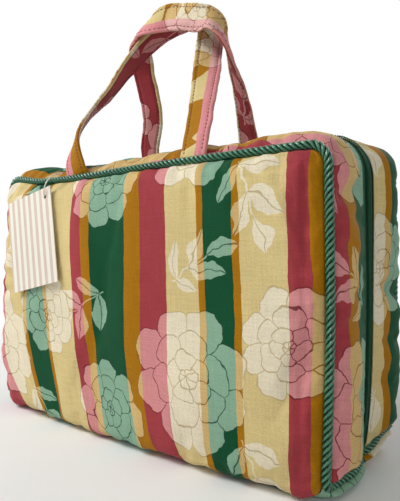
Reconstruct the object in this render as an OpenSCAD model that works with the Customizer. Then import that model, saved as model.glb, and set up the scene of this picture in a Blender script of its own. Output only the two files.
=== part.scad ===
// Soft cosmetic bag: a padded, piped case with a zip that runs up one side,
// over the top and down the other, two strap handles and a hang tag.
// X runs along the front, Y from front to back, Z up; the floor is Z = 0.

/* [Body] */
// Width between the side seams
body_w = 320; // [260:1:380]
// Depth between the front and back seams
body_d = 120; // [96:1:160]
// Height between the base seams and the top seams
body_h = 200; // [160:1:260]
// Thickness of the padded cloth where it is sewn
pad_t = 5; // [4:0.5:7]
// Inner radius of the top corners of the front and back
inner_corner_r = 7; // [5:0.5:14]
// Inner radius where the piping turns under the base
inner_turn_r = 1; // [0.5:0.5:4]
// How far the front and back swell past the piping
panel_puff = 13; // [8:0.5:16]
// How far the gusset strips swell past their seams
gusset_puff = 6; // [4:0.5:8]
// Height of the base seams above the floor
base_drop = 9; // [7:0.5:12]
// Height of the plain seam under the front edge
base_seam_z = 1; // [0.5:0.25:2]
// Width of the rolled edge of a swollen panel
panel_edge_w = 20; // [14:1:30]
// Width of the tighter roll along the foot of a panel
foot_edge_w = 6; // [5:0.5:12]
// Width of the rolled edge of a gusset strip
gusset_edge_w = 17; // [12:0.5:20]

/* [Piping] */
// Diameter of the twisted piping cord
cord_d = 5.8; // [4:0.1:7]

/* [Zip] */
// Width of zip that shows between the gusset strips
zip_gap = 14; // [12:0.5:18]
// Radius of the top corners along the zip
zip_corner_r = 27; // [22:0.5:36]
// Height of the zip over the top above the top piping
zip_rise = 12; // [6:0.5:16]
// Distance of the zip at the sides outside the side piping
zip_out = 2; // [0:0.5:4]
// Thickness of the zip tape
tape_t = 0.9; // [0.6:0.1:1.4]
// Depth of the tape's face below the piping line
tape_sink = 1.3; // [0.8:0.1:2]
// Width of the two coils together
coil_w = 6.8; // [6:0.1:8]
// Height of a coil above the tape
coil_h = 2.6; // [2:0.1:3.2]
// Gap between the coils in which the slider's post runs
post_slot = 1.2; // [1:0.1:1.6]

/* [Slider] */
// Length of the slider
slider_l = 12; // [10:0.5:16]
// Width of the slider
slider_w = 9.4; // [8.8:0.1:11]
// Thickness of the slider's two plates
slider_plate_t = 1.3; // [1:0.1:1.6]
// Height of the slider's centre above the floor when the zip is closed
slider_z = 40; // [36:1:60]
// Length of the pull from its pin to its tip
pull_l = 25; // [18:1:30]
// Width of the pull
pull_w = 7; // [5:0.5:8]
// Thickness of the pull
pull_t = 1.6; // [1.2:0.1:2]
// Radius of the pull's pin
pin_r = 0.8; // [0.6:0.05:1]

/* [Handles] */
// Width of a handle strap
strap_w = 22; // [18:1:28]
// Thickness of a handle strap
strap_t = 4; // [3:0.5:5]
// Distance between the two feet of the front handle
front_span = 126; // [100:1:140]
// Distance between the two feet of the back handle
back_span = 112; // [100:1:140]
// Rise of the front handle above its feet
front_rise = 113; // [100:1:114]
// Rise of the back handle above its feet
back_rise = 135; // [134:1:160]
// Distance behind the front seam at which the front handle's top lies
front_lean = 54; // [40:1:58]
// Distance in front of the back seam at which the back handle's top lies
back_lean = 64; // [60:1:70]
// Distance of the front handle's feet to the left of the middle
front_offset = 4; // [0:1:10]
// Distance of the back handle's feet to the left of the middle
back_offset = 9; // [0:1:10]
// How far the front handle's top sways to the right
front_sway = 8; // [0:1:12]
// How far the back handle's top sways to the right
back_sway = 10; // [8:1:16]

/* [Tag] */
// Width of the hang tag
tag_w = 63; // [40:1:80]
// Height of the hang tag
tag_h = 82; // [60:1:100]
// Thickness of the folded card
tag_t = 0.8; // [0.5:0.1:1.2]
// Radius of the hole in the tag
tag_hole_r = 1.6; // [1.2:0.1:2.5]
// Distance of the hole from the tag's two nearest edges
tag_hole_inset = 8; // [5:0.5:12]
// Distance of the hole to the left of the bag's middle
tag_x = 88; // [80:1:110]
// Distance of the hole below the top piping
tag_drop = 18; // [12:0.5:24]
// Angle at which the tag hangs askew
tag_turn = 12; // [0:1:20]
// Angle at which the tag leans out at its foot
tag_tilt = 3; // [0:0.5:6]
// Diameter of the nylon filament that holds the tag
filament_d = 1; // [0.8:0.1:1.4]

/* [Hidden] */
$fn = 64;

// Clearances and overruns
fit_gap = 0.3;
pin_gap = 0.08;
overrun = 2;

// Seam lines: the centre line of the piping cord
seam_x = body_w / 2;
seam_y = body_d / 2;
seam_bottom = base_drop;
seam_top = base_drop + body_h;
corner_r = pad_t + inner_corner_r;
turn_r = pad_t + inner_turn_r;
cord_r = cord_d / 2;
// The cloth stops short of the cord's centre by this much
cord_seat = cord_r + fit_gap;
// The cord's seat on the mitre between two pieces of cloth
mitre_seat = cord_seat * sin(45);

// Grid of a panel: steps across, round a top corner, down a side, round half a turn
cols = 24;
arc_steps = 5;
side_steps = 14;
turn_steps = 2;
base_steps = 8;
strip_steps = 9;
// Roundness of a swollen edge, and how far the grid crowds towards the edges
edge_power = 2.2;
crowd_share = 0.6;
// How much of the gusset's swell is left at the zip
lip_share = 0.4;
// How much of a panel's swell is one broad dome, and not its rolled edge
dome_share = 0.4;

function lerp(a, b, t) = a + (b - a) * t;
function smooth(t) = t * t * (3 - 2 * t);
// Height of a padded edge at the distance t from its seam, as shares
function edge(t) =
    t >= 1 ? 1 : t <= 0 ? 0 : pow(1 - pow(1 - t, edge_power), 1 / edge_power);
// Even steps from 0 to 1, drawn towards both ends
function crowded(t) = lerp(t, (1 - cos(180 * t)) / 2, crowd_share);
// Places across a panel, from -1 at the left seam to 1 at the right
col_shares = [for (i = [0 : cols]) 2 * crowded(i / cols) - 1];

// A row of the seam: half width, distance behind the front seam, height, and the
// angles at which it rounds the top corner and turns under the base.
function row(corner, turn, height_share) = [
    seam_x - corner_r * (1 - sin(corner)),
    turn_r * (1 - cos(turn)),
    (turn > 0 ? seam_bottom + turn_r * (1 - sin(turn))
        : lerp(seam_bottom + turn_r, seam_top - corner_r, height_share))
        + corner_r * cos(corner),
    corner,
    turn,
];
arc_rows = [for (j = [0 : arc_steps]) row(90 * j / arc_steps, 0, 1)];
side_rows = [for (j = [1 : side_steps]) row(90, 0, 1 - crowded(j / side_steps))];
turn_rows = [for (j = [1 : 2 * turn_steps]) row(90, 45 * j / turn_steps, 0)];
panel_rows = [
    each arc_rows,
    each side_rows,
    for (j = [0 : turn_steps - 1]) turn_rows[j],
];
last_row = len(panel_rows) - 1;

// Points on the right-hand seam of a row: on the panel's side of the cord, on the
// mitre behind the cord, and at the mitre's inner end.
function panel_side(r, seat) = [
    r[0] - seat * sin(r[3]), r[1] - seam_y, r[2] - seat * cos(r[3]),
];
function mitre(r, depth) = [
    r[0] - depth * sin(r[3]),
    r[1] - seam_y + depth * cos(r[4]),
    r[2] - depth * cos(r[3]) + depth * sin(r[4]),
];

// Faces of a grid of points stored row by row, as triangles
function grid_faces(first, rows, columns, flip = false) = [
    for (j = [0 : rows - 1], i = [0 : columns - 1])
        let (
            a = first + j * (columns + 1) + i,
            b = a + 1,
            c = a + columns + 2,
            d = a + columns + 1
        )
        each flip ? [[a, c, b], [a, d, c]] : [[a, b, c], [a, c, d]]
];
// Faces of the strip between two rows of point numbers
function strip_faces(one, two) = [
    for (i = [0 : len(one) - 2])
        each [[one[i], one[i + 1], two[i + 1]], [one[i], two[i + 1], two[i]]]
];
function reversed(list) = [for (i = [len(list) - 1 : -1 : 0]) list[i]];
function flipped(faces) = [for (f = faces) reversed(f)];
// Faces between a row of points and the two ends of the next, wider row
function fan_faces(row, left, right) = [
    for (i = [0 : len(row) - 2]) [row[i + 1], row[i], left],
    [row[len(row) - 1], left, right],
];
// A run of whole numbers
function run(first, step, count) = [for (i = [0 : count - 1]) first + i * step];

// Front panel

// How far the plain seam under the front dips below the corners
bottom_row = panel_rows[last_row];
seam_dip = bottom_row[2] - base_seam_z;
function dip(x, half_w) = seam_dip * edge((half_w - abs(x)) / panel_edge_w);

function panel_outer(j, i) =
    let (
        r = panel_rows[j],
        a = panel_side(r, cord_seat),
        x = a[0] * col_shares[i],
        top = seam_top - cord_seat,
        above = a[2] - bottom_row[2],
        rolled = edge((a[0] - abs(x)) / panel_edge_w) * edge((top - a[2]) / panel_edge_w)
            * edge(above / foot_edge_w),
        height_share = above / (top - bottom_row[2]),
        dome = (1 - pow(col_shares[i], 2)) * (1 - pow(height_share, 2)),
        swell = rolled * lerp(1, dome, dome_share),
        sag = pow(max(0, 1 - above / panel_edge_w), 2)
    )
    [x, a[1] - panel_puff * swell, a[2] - sag * dip(x, a[0])];

// A ring of seam points: down the right side, and the same down the left
function ring_point(p, side) = [side * p[0], p[1], p[2]];

module padded_panel() {
    n = cols + 1;
    outer = [for (j = [0 : last_row], i = [0 : cols]) panel_outer(j, i)];
    // The seat ring and the inner ring run along the top, then down both sides
    function top_points(depth) = [
        for (i = [0 : cols])
            let (m = mitre(panel_rows[0], depth)) [m[0] * col_shares[i], m[1], m[2]]
    ];
    function side_points(depth, side) = [
        for (j = [1 : last_row]) ring_point(mitre(panel_rows[j], depth), side)
    ];
    inner_bottom = mitre(bottom_row, pad_t);
    floor_points = [
        for (i = [1 : cols - 1])
            [inner_bottom[0] * col_shares[i], inner_bottom[1], inner_bottom[2]]
    ];
    seat_at = len(outer);
    ring_size = n + 2 * last_row;
    inner_at = seat_at + ring_size;
    floor_at = inner_at + ring_size;
    points = [
        each outer,
        each top_points(mitre_seat), each side_points(mitre_seat, -1),
        each side_points(mitre_seat, 1),
        each top_points(pad_t), each side_points(pad_t, -1), each side_points(pad_t, 1),
        each floor_points,
    ];
    // Point numbers along each edge, from the outer face inwards
    function top_run(at) = run(at, 1, n);
    function left_run(at) = [at, each run(at + n, 1, last_row)];
    function right_run(at) = [at + cols, each run(at + n + last_row, 1, last_row)];
    outer_left = run(0, n, last_row + 1);
    outer_right = run(cols, n, last_row + 1);
    inner_left = left_run(inner_at);
    inner_right = right_run(inner_at);
    inner_floor = [
        inner_left[last_row], each run(floor_at, 1, cols - 1), inner_right[last_row],
    ];
    faces = [
        each grid_faces(0, last_row, cols),
        each strip_faces(top_run(seat_at), run(0, 1, n)),
        each strip_faces(top_run(inner_at), top_run(seat_at)),
        each strip_faces(outer_left, left_run(seat_at)),
        each strip_faces(left_run(seat_at), inner_left),
        each strip_faces(right_run(seat_at), outer_right),
        each strip_faces(inner_right, right_run(seat_at)),
        each strip_faces(run(last_row * n, 1, n), inner_floor),
        [last_row * n, inner_left[last_row], left_run(seat_at)[last_row]],
        [last_row * n + cols, right_run(seat_at)[last_row], inner_right[last_row]],
        each fan_faces(top_run(inner_at), inner_left[1], inner_right[1]),
        for (j = [1 : last_row - 2])
            each [
                [inner_right[j], inner_left[j], inner_left[j + 1]],
                [inner_right[j], inner_left[j + 1], inner_right[j + 1]],
            ],
        each flipped(fan_faces(inner_floor, inner_left[last_row - 1],
            inner_right[last_row - 1])),
    ];
    polyhedron(points, faces);
}

module front_panel() {
    color("#ded3ad") padded_panel();
}

module back_panel() {
    color("#ded3ad") mirror([0, 1, 0]) padded_panel();
}

// Base panel

half_base_rows = [
    bottom_row,
    for (j = [turn_steps : 2 * turn_steps - 1]) turn_rows[j],
];
// Rows of the base from front to back: distance behind the front seam, height, turn
base_rows = [
    for (r = half_base_rows) [r[1], r[2], r[4]],
    for (k = [1 : base_steps - 1])
        [lerp(turn_r, body_d - turn_r, k / base_steps), seam_bottom, 90],
    for (r = reversed(half_base_rows)) [body_d - r[1], r[2], 180 - r[4]],
];
last_base = len(base_rows) - 1;

function base_outer(k, i) =
    let (
        r = base_rows[k],
        half_w = seam_x - cord_seat,
        x = half_w * col_shares[i],
        low = k == 0 || k == last_base ? base_seam_z : 0
    )
    [x, r[0] - seam_y, r[1] - (r[1] - low) * edge((half_w - abs(x)) / panel_edge_w)];
function base_mitre(k, depth, x) =
    let (r = base_rows[k])
    [x, r[0] - seam_y + depth * cos(r[2]), r[1] + depth * sin(r[2])];

module base_panel() {
    n = cols + 1;
    inner_w = seam_x - pad_t;
    outer = [for (k = [0 : last_base], i = [0 : cols]) base_outer(k, i)];
    function side_points(depth, side) = [
        for (k = [0 : last_base]) base_mitre(k, depth, side * (seam_x - depth))
    ];
    function end_points(k) = [
        for (i = [1 : cols - 1]) base_mitre(k, pad_t, inner_w * col_shares[i])
    ];
    side_size = last_base + 1;
    seat_left = run(len(outer), 1, side_size);
    seat_right = run(len(outer) + side_size, 1, side_size);
    inner_left = run(len(outer) + 2 * side_size, 1, side_size);
    inner_right = run(len(outer) + 3 * side_size, 1, side_size);
    front_at = len(outer) + 4 * side_size;
    points = [
        each outer,
        each side_points(mitre_seat, -1), each side_points(mitre_seat, 1),
        each side_points(pad_t, -1), each side_points(pad_t, 1),
        each end_points(0), each end_points(last_base),
    ];
    inner_front = [inner_left[0], each run(front_at, 1, cols - 1), inner_right[0]];
    inner_back = [
        inner_left[last_base], each run(front_at + cols - 1, 1, cols - 1),
        inner_right[last_base],
    ];
    outer_left = run(0, n, side_size);
    outer_right = run(cols, n, side_size);
    outer_front = run(0, 1, n);
    outer_back = run(last_base * n, 1, n);
    faces = [
        each grid_faces(0, last_base, cols),
        each flipped(strip_faces(outer_front, inner_front)),
        each strip_faces(outer_back, inner_back),
        each strip_faces(outer_left, seat_left),
        each strip_faces(seat_left, inner_left),
        each strip_faces(seat_right, outer_right),
        each strip_faces(inner_right, seat_right),
        [outer_left[0], seat_left[0], inner_left[0]],
        [outer_right[0], inner_right[0], seat_right[0]],
        [outer_left[last_base], inner_left[last_base], seat_left[last_base]],
        [outer_right[last_base], seat_right[last_base], inner_right[last_base]],
        each fan_faces(inner_front, inner_left[1], inner_right[1]),
        for (k = [1 : last_base - 2])
            each [
                [inner_right[k], inner_left[k], inner_left[k + 1]],
                [inner_right[k], inner_left[k + 1], inner_right[k + 1]],
            ],
        each flipped(fan_faces(inner_back, inner_left[last_base - 1],
            inner_right[last_base - 1])),
    ];
    color("#cfc79c") polyhedron(points, faces);
}

// Gusset strips

zip_half = zip_gap / 2;
// Stations along a strip, from the right-hand base seam over the top to the left
right_rows = [
    for (j = [2 * turn_steps - 1 : -1 : 0]) turn_rows[j],
    for (j = [last_row - turn_steps : -1 : 0]) panel_rows[j],
];
right_count = len(right_rows);
station_count = 2 * right_count + cols - 1;

// A point of the strip at a station: y is its place across, off its distance
// outside the strip's outline, share how far it lies from the piping to the zip.
// The outline grows from the piping's to the zip's: half width, top and corner radius.
function strip_outline(share) =
    let (grown = sin(90 * share))
    [
        seam_x + zip_out * grown,
        seam_top + zip_rise * grown,
        lerp(corner_r, zip_corner_r, grown),
    ];
function side_point(r, y, off, share, seat) =
    let (
        outline = strip_outline(share),
        radius = outline[2],
        // A side row keeps its share of the straight stretch as the corner grows
        low = seam_bottom + turn_r,
        straight = (r[2] - low) / (seam_top - corner_r - low),
        // The outline starts from the piping at the base
        foot = edge((r[2] - seam_bottom) / gusset_edge_w)
    )
    r[3] < 90 ? [
        outline[0] - radius + (radius + off) * sin(r[3]),
        y,
        outline[1] - radius + (radius + off) * cos(r[3]),
    ] : [
        lerp(seam_x, outline[0], foot) + off,
        y,
        r[4] > 0 ? r[2] + seat * sin(r[4]) : lerp(low, outline[1] - radius, straight),
    ];
function strip_point(t, y, off, share, seat) =
    t < right_count ? side_point(right_rows[t], y, off, share, seat)
    : t >= right_count + cols - 1 ?
        ring_point(side_point(right_rows[station_count - 1 - t], y, off, share, seat), -1)
    : let (outline = strip_outline(share))
    [
        (outline[0] - outline[2]) * col_shares[cols - 1 - (t - right_count)],
        y,
        outline[1] + off,
    ];
function station_row(t) =
    t < right_count ? right_rows[t]
    : t >= right_count + cols - 1 ? right_rows[station_count - 1 - t]
    : panel_rows[0];
// Where the strip starts at a station, seen from the side
function strip_start(t, depth) =
    let (r = station_row(t)) r[1] - seam_y + depth * cos(r[4]);

strip_low = seam_bottom + cord_seat;
function strip_outer(t, s) =
    let (
        share = crowded(s / strip_steps),
        start = strip_start(t, cord_seat),
        y = lerp(start, -zip_half, share),
        flat = strip_point(t, y, 0, share, cord_seat),
        to_zip = edge((-zip_half - y) / gusset_edge_w),
        swell = edge((y - start) / gusset_edge_w) * lerp(lip_share, 1, to_zip)
            * edge((flat[2] - strip_low) / gusset_edge_w)
    )
    strip_point(t, y, gusset_puff * swell, share, cord_seat);
// A point on the mitre, with the strip's own corner radius
function strip_mitre(t, s, depth) =
    let (
        share = crowded(s / strip_steps),
        y = lerp(strip_start(t, depth), -zip_half, share)
    )
    strip_point(t, y, -depth, share, depth);

module gusset_strip() {
    n = strip_steps + 1;
    last = station_count - 1;
    outer = [for (t = [0 : last], s = [0 : strip_steps]) strip_outer(t, s)];
    seat_at = len(outer);
    inner_at = seat_at + station_count;
    lip_at = inner_at + station_count;
    end_size = strip_steps - 1;
    seat_start_at = lip_at + station_count;
    inner_start_at = seat_start_at + end_size + 1;
    seat_end_at = inner_start_at + end_size;
    inner_end_at = seat_end_at + end_size + 1;
    points = [
        each outer,
        for (t = [0 : last]) strip_mitre(t, 0, mitre_seat),
        for (t = [0 : last]) strip_mitre(t, 0, pad_t),
        for (t = [0 : last]) strip_mitre(t, strip_steps, pad_t),
        for (s = [1 : strip_steps]) strip_mitre(0, s, mitre_seat),
        for (s = [1 : strip_steps - 1]) strip_mitre(0, s, pad_t),
        for (s = [1 : strip_steps]) strip_mitre(last, s, mitre_seat),
        for (s = [1 : strip_steps - 1]) strip_mitre(last, s, pad_t),
    ];
    outer_seam = run(0, n, station_count);
    outer_lip = run(strip_steps, n, station_count);
    seat_seam = run(seat_at, 1, station_count);
    inner_seam = run(inner_at, 1, station_count);
    lip = run(lip_at, 1, station_count);
    outer_start = run(0, 1, n);
    outer_end = run(last * n, 1, n);
    seat_start = [seat_seam[0], each run(seat_start_at, 1, strip_steps)];
    seat_end = [seat_seam[last], each run(seat_end_at, 1, strip_steps)];
    inner_start = [inner_seam[0], each run(inner_start_at, 1, end_size), lip[0]];
    inner_end = [inner_seam[last], each run(inner_end_at, 1, end_size), lip[last]];
    faces = [
        each grid_faces(0, last, strip_steps),
        each strip_faces(outer_seam, seat_seam),
        each strip_faces(seat_seam, inner_seam),
        each strip_faces(lip, outer_lip),
        each strip_faces(seat_start, outer_start),
        each strip_faces(inner_start, seat_start),
        each strip_faces(outer_end, seat_end),
        each strip_faces(seat_end, inner_end),
        [outer_lip[0], lip[0], seat_start[strip_steps]],
        [outer_lip[last], seat_end[strip_steps], lip[last]],
        each fan_faces(inner_start, inner_seam[1], lip[1]),
        for (t = [1 : last - 2])
            each [
                [lip[t], inner_seam[t], inner_seam[t + 1]],
                [lip[t], inner_seam[t + 1], lip[t + 1]],
            ],
        each flipped(fan_faces(inner_end, inner_seam[last - 1], lip[last - 1])),
    ];
    polyhedron(points, flipped(faces));
}

module front_gusset() {
    color("#b4465a") gusset_strip();
}

module back_gusset() {
    color("#c9bd92") mirror([0, 1, 0]) gusset_strip();
}

// Piping cord: one loop round the front, under both ends of the base and round the back

module cord_length(l) {
    cylinder(r = cord_r, h = l);
}

module cord_bend(radius) {
    rotate_extrude(angle = 90) translate([radius, 0]) circle(r = cord_r);
}

module quarter_cord() {
    // Half of the front's top, one corner, one side, one turn and half a base end
    translate([0, -seam_y, seam_top]) rotate([0, 90, 0]) cord_length(seam_x - corner_r);
    translate([seam_x - corner_r, -seam_y, seam_top - corner_r])
        rotate([90, 0, 0]) cord_bend(corner_r);
    translate([seam_x, -seam_y, seam_bottom + turn_r])
        cord_length(body_h - turn_r - corner_r);
    translate([seam_x, turn_r - seam_y, seam_bottom + turn_r])
        rotate([0, 90, 0]) rotate([0, 0, -90]) cord_bend(turn_r);
    translate([seam_x, turn_r - seam_y, seam_bottom])
        rotate([-90, 0, 0]) cord_length(seam_y - turn_r);
}

module piping_cord() {
    color("#2f7a57")
        for (x_side = [0, 1], y_side = [0, 1])
            mirror([x_side, 0, 0]) mirror([0, y_side, 0]) quarter_cord();
}

// Lining

lining_t = 1;
lining_in = pad_t + fit_gap;
// The cloth stands a little further in where the front and base meet
turn_in = inner_turn_r * (1 - sin(45));
lining_r = inner_corner_r - fit_gap;
// Width of the lining's opening along the zip
lining_slot = zip_gap + 2 * pad_t;

// An upright outline with round top corners
module arch_outline(half_w, low, top, radius) {
    translate([-half_w, low]) square([2 * half_w, top - radius - low]);
    translate([radius - half_w, low]) square([2 * (half_w - radius), top - low]);
    for (side = [-1, 1])
        translate([side * (half_w - radius), top - radius]) circle(r = radius);
}

// An outline of the XZ plane, drawn out along Y
module along_y(y0, y1) {
    translate([0, y1, 0]) rotate([90, 0, 0]) linear_extrude(y1 - y0) children();
}

module lining() {
    out_x = seam_x - lining_in;
    out_y = seam_y - lining_in - turn_in;
    low = seam_bottom + lining_in + turn_in;
    top = seam_top - lining_in;
    color("#e9e2cf") difference() {
        along_y(-out_y, out_y) arch_outline(out_x, low, top, lining_r);
        along_y(lining_t - out_y, out_y - lining_t)
            arch_outline(out_x - lining_t, low + lining_t, top - lining_t,
                lining_r - lining_t);
        translate([-body_w, -lining_slot / 2, low + lining_t])
            cube([2 * body_w, lining_slot, seam_top]);
    }
}

// Zip

// Half width, top and foot of the zip's outline
zip_x = seam_x + zip_out;
zip_top = seam_top + zip_rise;
zip_low = seam_bottom + cord_seat;

// A band that follows the zip's path between two distances from the seam line
module zip_band(off_in, off_out, y0, y1) {
    along_y(y0, y1) difference() {
        arch_outline(zip_x + off_out, zip_low, zip_top + off_out, zip_corner_r + off_out);
        arch_outline(zip_x + off_in, zip_low - overrun, zip_top + off_in,
            zip_corner_r + off_in);
    }
}

tape_face = -tape_sink;
tape_back = tape_face - tape_t;
coil_top = tape_face + coil_h;
// The coil is narrower towards its crown
coil_shoulder_share = 0.65;
coil_crown_share = 0.2;

module zip_tape() {
    zip_band(tape_back, tape_face, -zip_half, -post_slot / 2);
}

module zip_coil() {
    inner = -post_slot / 2;
    outer = -coil_w / 2;
    crown = (inner - outer) * coil_crown_share;
    shoulder = lerp(tape_face, coil_top, coil_shoulder_share);
    zip_band(tape_face, shoulder, outer, inner);
    zip_band(shoulder, coil_top, outer + crown, inner);
}

module zip_tape_front() {
    color("#14512f") zip_tape();
}

module zip_tape_back() {
    color("#14512f") mirror([0, 1, 0]) zip_tape();
}

module zip_coil_front() {
    color("#0f4427") zip_coil();
}

module zip_coil_back() {
    color("#0f4427") mirror([0, 1, 0]) zip_coil();
}

// Slider: drawn with the zip running along X and its face up, then set on the left side

slider_deck = coil_top + fit_gap;
slider_top = slider_deck + slider_plate_t;
slider_under = tape_back - fit_gap;
flange_t = slider_w / 2 - coil_w / 2 - fit_gap;
post_t = post_slot - 2 * fit_gap;
post_l_share = 0.35;
nose_share = 0.55;
eye_r = pin_r + pull_t / 2;
pin_z = slider_top + eye_r + fit_gap;
ear_t = pin_r;
lug_w = pull_w - 2 * (ear_t + fit_gap);

// Places a piece drawn flat on the zip of the left side
module on_left_zip() {
    translate([-zip_x, 0, slider_z]) rotate([0, -90, 0]) children();
}

// A plate with a round nose at its +X end
module slider_plate(z0, z1) {
    nose_r = slider_w / 2 * nose_share;
    translate([0, 0, z0]) linear_extrude(z1 - z0) {
        translate([-slider_l / 2, -slider_w / 2])
            square([slider_l - nose_r, slider_w]);
        for (side = [-1, 1])
            translate([slider_l / 2 - nose_r, side * (slider_w / 2 - nose_r)])
                circle(r = nose_r);
        translate([0, nose_r - slider_w / 2])
            square([slider_l / 2, slider_w - 2 * nose_r]);
    }
}

module zip_slider() {
    flange_low = tape_face + fit_gap;
    flange_l = slider_l * nose_share;
    post_l = slider_l * post_l_share;
    ear_gap = lug_w / 2 + fit_gap;
    // Its nose points down, away from the closed zip
    color("#b9b6a6") on_left_zip() mirror([1, 0, 0]) {
        slider_plate(slider_deck, slider_top);
        slider_plate(slider_under - slider_plate_t, slider_under);
        for (side = [0, 1])
            mirror([0, side, 0])
                translate([-slider_l / 2, slider_w / 2 - flange_t, flange_low])
                    cube([flange_l, flange_t, slider_deck - flange_low]);
        translate([slider_l / 2 - post_l, -post_t / 2, slider_under])
            cube([post_l, post_t, slider_deck - slider_under]);
        // Two ears carry the pull's pin
        for (side = [0, 1])
            mirror([0, side, 0]) translate([0, ear_gap, 0]) {
                translate([0, ear_t, pin_z]) rotate([90, 0, 0])
                    cylinder(r = eye_r, h = ear_t);
                translate([-eye_r, 0, slider_deck])
                    cube([2 * eye_r, ear_t, pin_z - slider_deck]);
            }
        translate([0, ear_gap, pin_z]) rotate([90, 0, 0])
            cylinder(r = pin_r, h = 2 * ear_gap);
    }
}

// Pull: hangs from the pin, a tab with a slot near its tip

slot_w_share = 0.5;
slot_l_share = 0.25;

module zip_pull() {
    neck_r = lug_w / 2;
    tip_r = pull_w / 2;
    slot_r = tip_r * slot_w_share;
    slot_l = pull_l * slot_l_share;
    color("#b9b6a6") on_left_zip() translate([0, 0, pin_z]) difference() {
        union() {
            rotate([90, 0, 0])
                cylinder(r = eye_r, h = lug_w, center = true);
            translate([0, 0, -pull_t / 2]) linear_extrude(pull_t) {
                translate([-pull_l / 2, -neck_r]) square([pull_l / 2, lug_w]);
                translate([tip_r - pull_l, -tip_r]) square([pull_l / 2, pull_w]);
                translate([tip_r - pull_l, 0]) circle(r = tip_r);
            }
        }
        rotate([90, 0, 0])
            cylinder(r = pin_r + pin_gap, h = lug_w + overrun, center = true);
        translate([tip_r - pull_l, 0, -pull_t]) {
            cylinder(r = slot_r, h = 2 * pull_t);
            translate([slot_l, 0, 0]) cylinder(r = slot_r, h = 2 * pull_t);
            translate([0, -slot_r, 0]) cube([slot_l, 2 * slot_r, 2 * pull_t]);
        }
    }
}

// Handles: a flat strap in a leaning plane that turns from facing forwards at its
// ends to facing outwards over the top

handle_steps = 22;
// The strap's rounded edge, as a share of its thickness
bevel_share = 0.3;
strap_bevel = strap_t * bevel_share;
// The strap's ends stand just behind the cord's top
foot_share = 0.25;
handle_foot_y = seam_y - cord_r * foot_share;
// The arch's power is 2 for an ellipse and more for a squarer arch
front_arch_power = 2;
back_arch_power = 2.7;
// The share by which a handle leans sooner than a straight slope, or later if negative
front_lean_share = -0.4;
back_lean_share = 0.6;
// Turn of the strap at the top in degrees, and the powers that hold it back on each leg
front_twist = 90;
front_hold = [0.8, 0.8];
back_twist = 165;
back_hold = [1, 3];

function side_of(u) = u < 0 ? -1 : 1;
// Place on the arch as shares of half the span and of the rise, evenly spaced
function arch_share(u, square) =
    let (
        near = pow(abs(u), square / 2),
        far = pow(1 - abs(u), square / 2),
        a = 90 * near / (near + far)
    )
    [side_of(u) * pow(sin(a), 2 / square), pow(cos(a), 2 / square)];
// A handle is a list of its span, rise, lean, offset, sway, power, lean share, twist, hold
front_strap = [
    front_span, front_rise, front_lean, front_offset, front_sway,
    front_arch_power, front_lean_share, front_twist, front_hold,
];
back_strap = [
    back_span, back_rise, back_lean, back_offset, back_sway,
    back_arch_power, back_lean_share, back_twist, back_hold,
];
// The lower edge of a leaning end rests on the cord
function foot_z(h) =
    let (lean_angle = atan(h[2] * (1 + h[6]) / h[1]))
    seam_top + cord_r + strap_t / 2 * sin(lean_angle);

function handle_point(u, h) =
    let (p = arch_share(u, h[5]), leaned = p[1] * (1 + h[6] * (1 - p[1])))
    [
        p[0] * h[0] / 2 - h[3] + h[4] * pow(p[1], 2),
        h[2] * leaned - handle_foot_y,
        foot_z(h) + h[1] * p[1],
    ];
function unit(v) = v / norm(v);

// One ring of the strap: across its width and through its thickness
function handle_ring(u, h) =
    let (
        step = 1 / (4 * handle_steps),
        p = handle_point(u, h),
        along = unit(handle_point(min(1, u + step), h) - handle_point(max(-1, u - step), h)),
        height_share = arch_share(u, h[5])[1],
        slope = 1 + h[6] * (1 - 2 * height_share),
        plane = unit(cross([0, h[2] * slope, h[1]], [1, 0, 0])),
        outwards = unit(cross(along, plane)),
        turn = h[7] * pow(smooth(height_share), u < 0 ? h[8][0] : h[8][1]),
        face = unit(-plane * cos(turn) + outwards * sin(turn)),
        width = cross(along, face),
        w = strap_w / 2,
        t = strap_t / 2,
        b = strap_bevel
    )
    [
        for (q = [[w, t - b], [w - b, t], [b - w, t], [-w, t - b],
                [-w, b - t], [b - w, -t], [w - b, -t], [w, b - t]])
            p + width * q[0] + face * q[1]
    ];

module strap_handle(h) {
    ring_count = 2 * handle_steps + 1;
    sides = 8;
    points = [
        for (k = [-handle_steps : handle_steps])
            each handle_ring(k / handle_steps, h)
    ];
    tube = [
        for (k = [0 : ring_count - 2], i = [0 : sides - 1])
            let (
                a = k * sides + i,
                b = k * sides + (i + 1) % sides,
                c = b + sides,
                d = a + sides
            )
            each [[a, b, c], [a, c, d]]
    ];
    last = (ring_count - 1) * sides;
    polyhedron(points, [each tube, reversed(run(0, 1, sides)), run(last, 1, sides)]);
}

module front_handle() {
    color("#d9c083") strap_handle(front_strap);
}

module back_handle() {
    color("#c88a86") mirror([0, 1, 0]) strap_handle(back_strap);
}

// Hang tag

tag_y = -(seam_y + panel_puff + fit_gap + tag_t);

module hang_tag() {
    color("#efe6dc") translate([-tag_x, tag_y, seam_top - tag_drop])
        rotate([-tag_tilt, 0, 0]) rotate([0, -tag_turn, 0]) along_y(0, tag_t) difference() {
            translate([tag_hole_inset - tag_w, tag_hole_inset - tag_h])
                square([tag_w, tag_h]);
            circle(r = tag_hole_r);
        }
}

// Route of the nylon filament: from the top of the piping, where it comes out of the
// seam, forwards and down in a curve to the upper edge of the tag's hole
filament_steps = 10;
filament_sides = 8;
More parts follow.
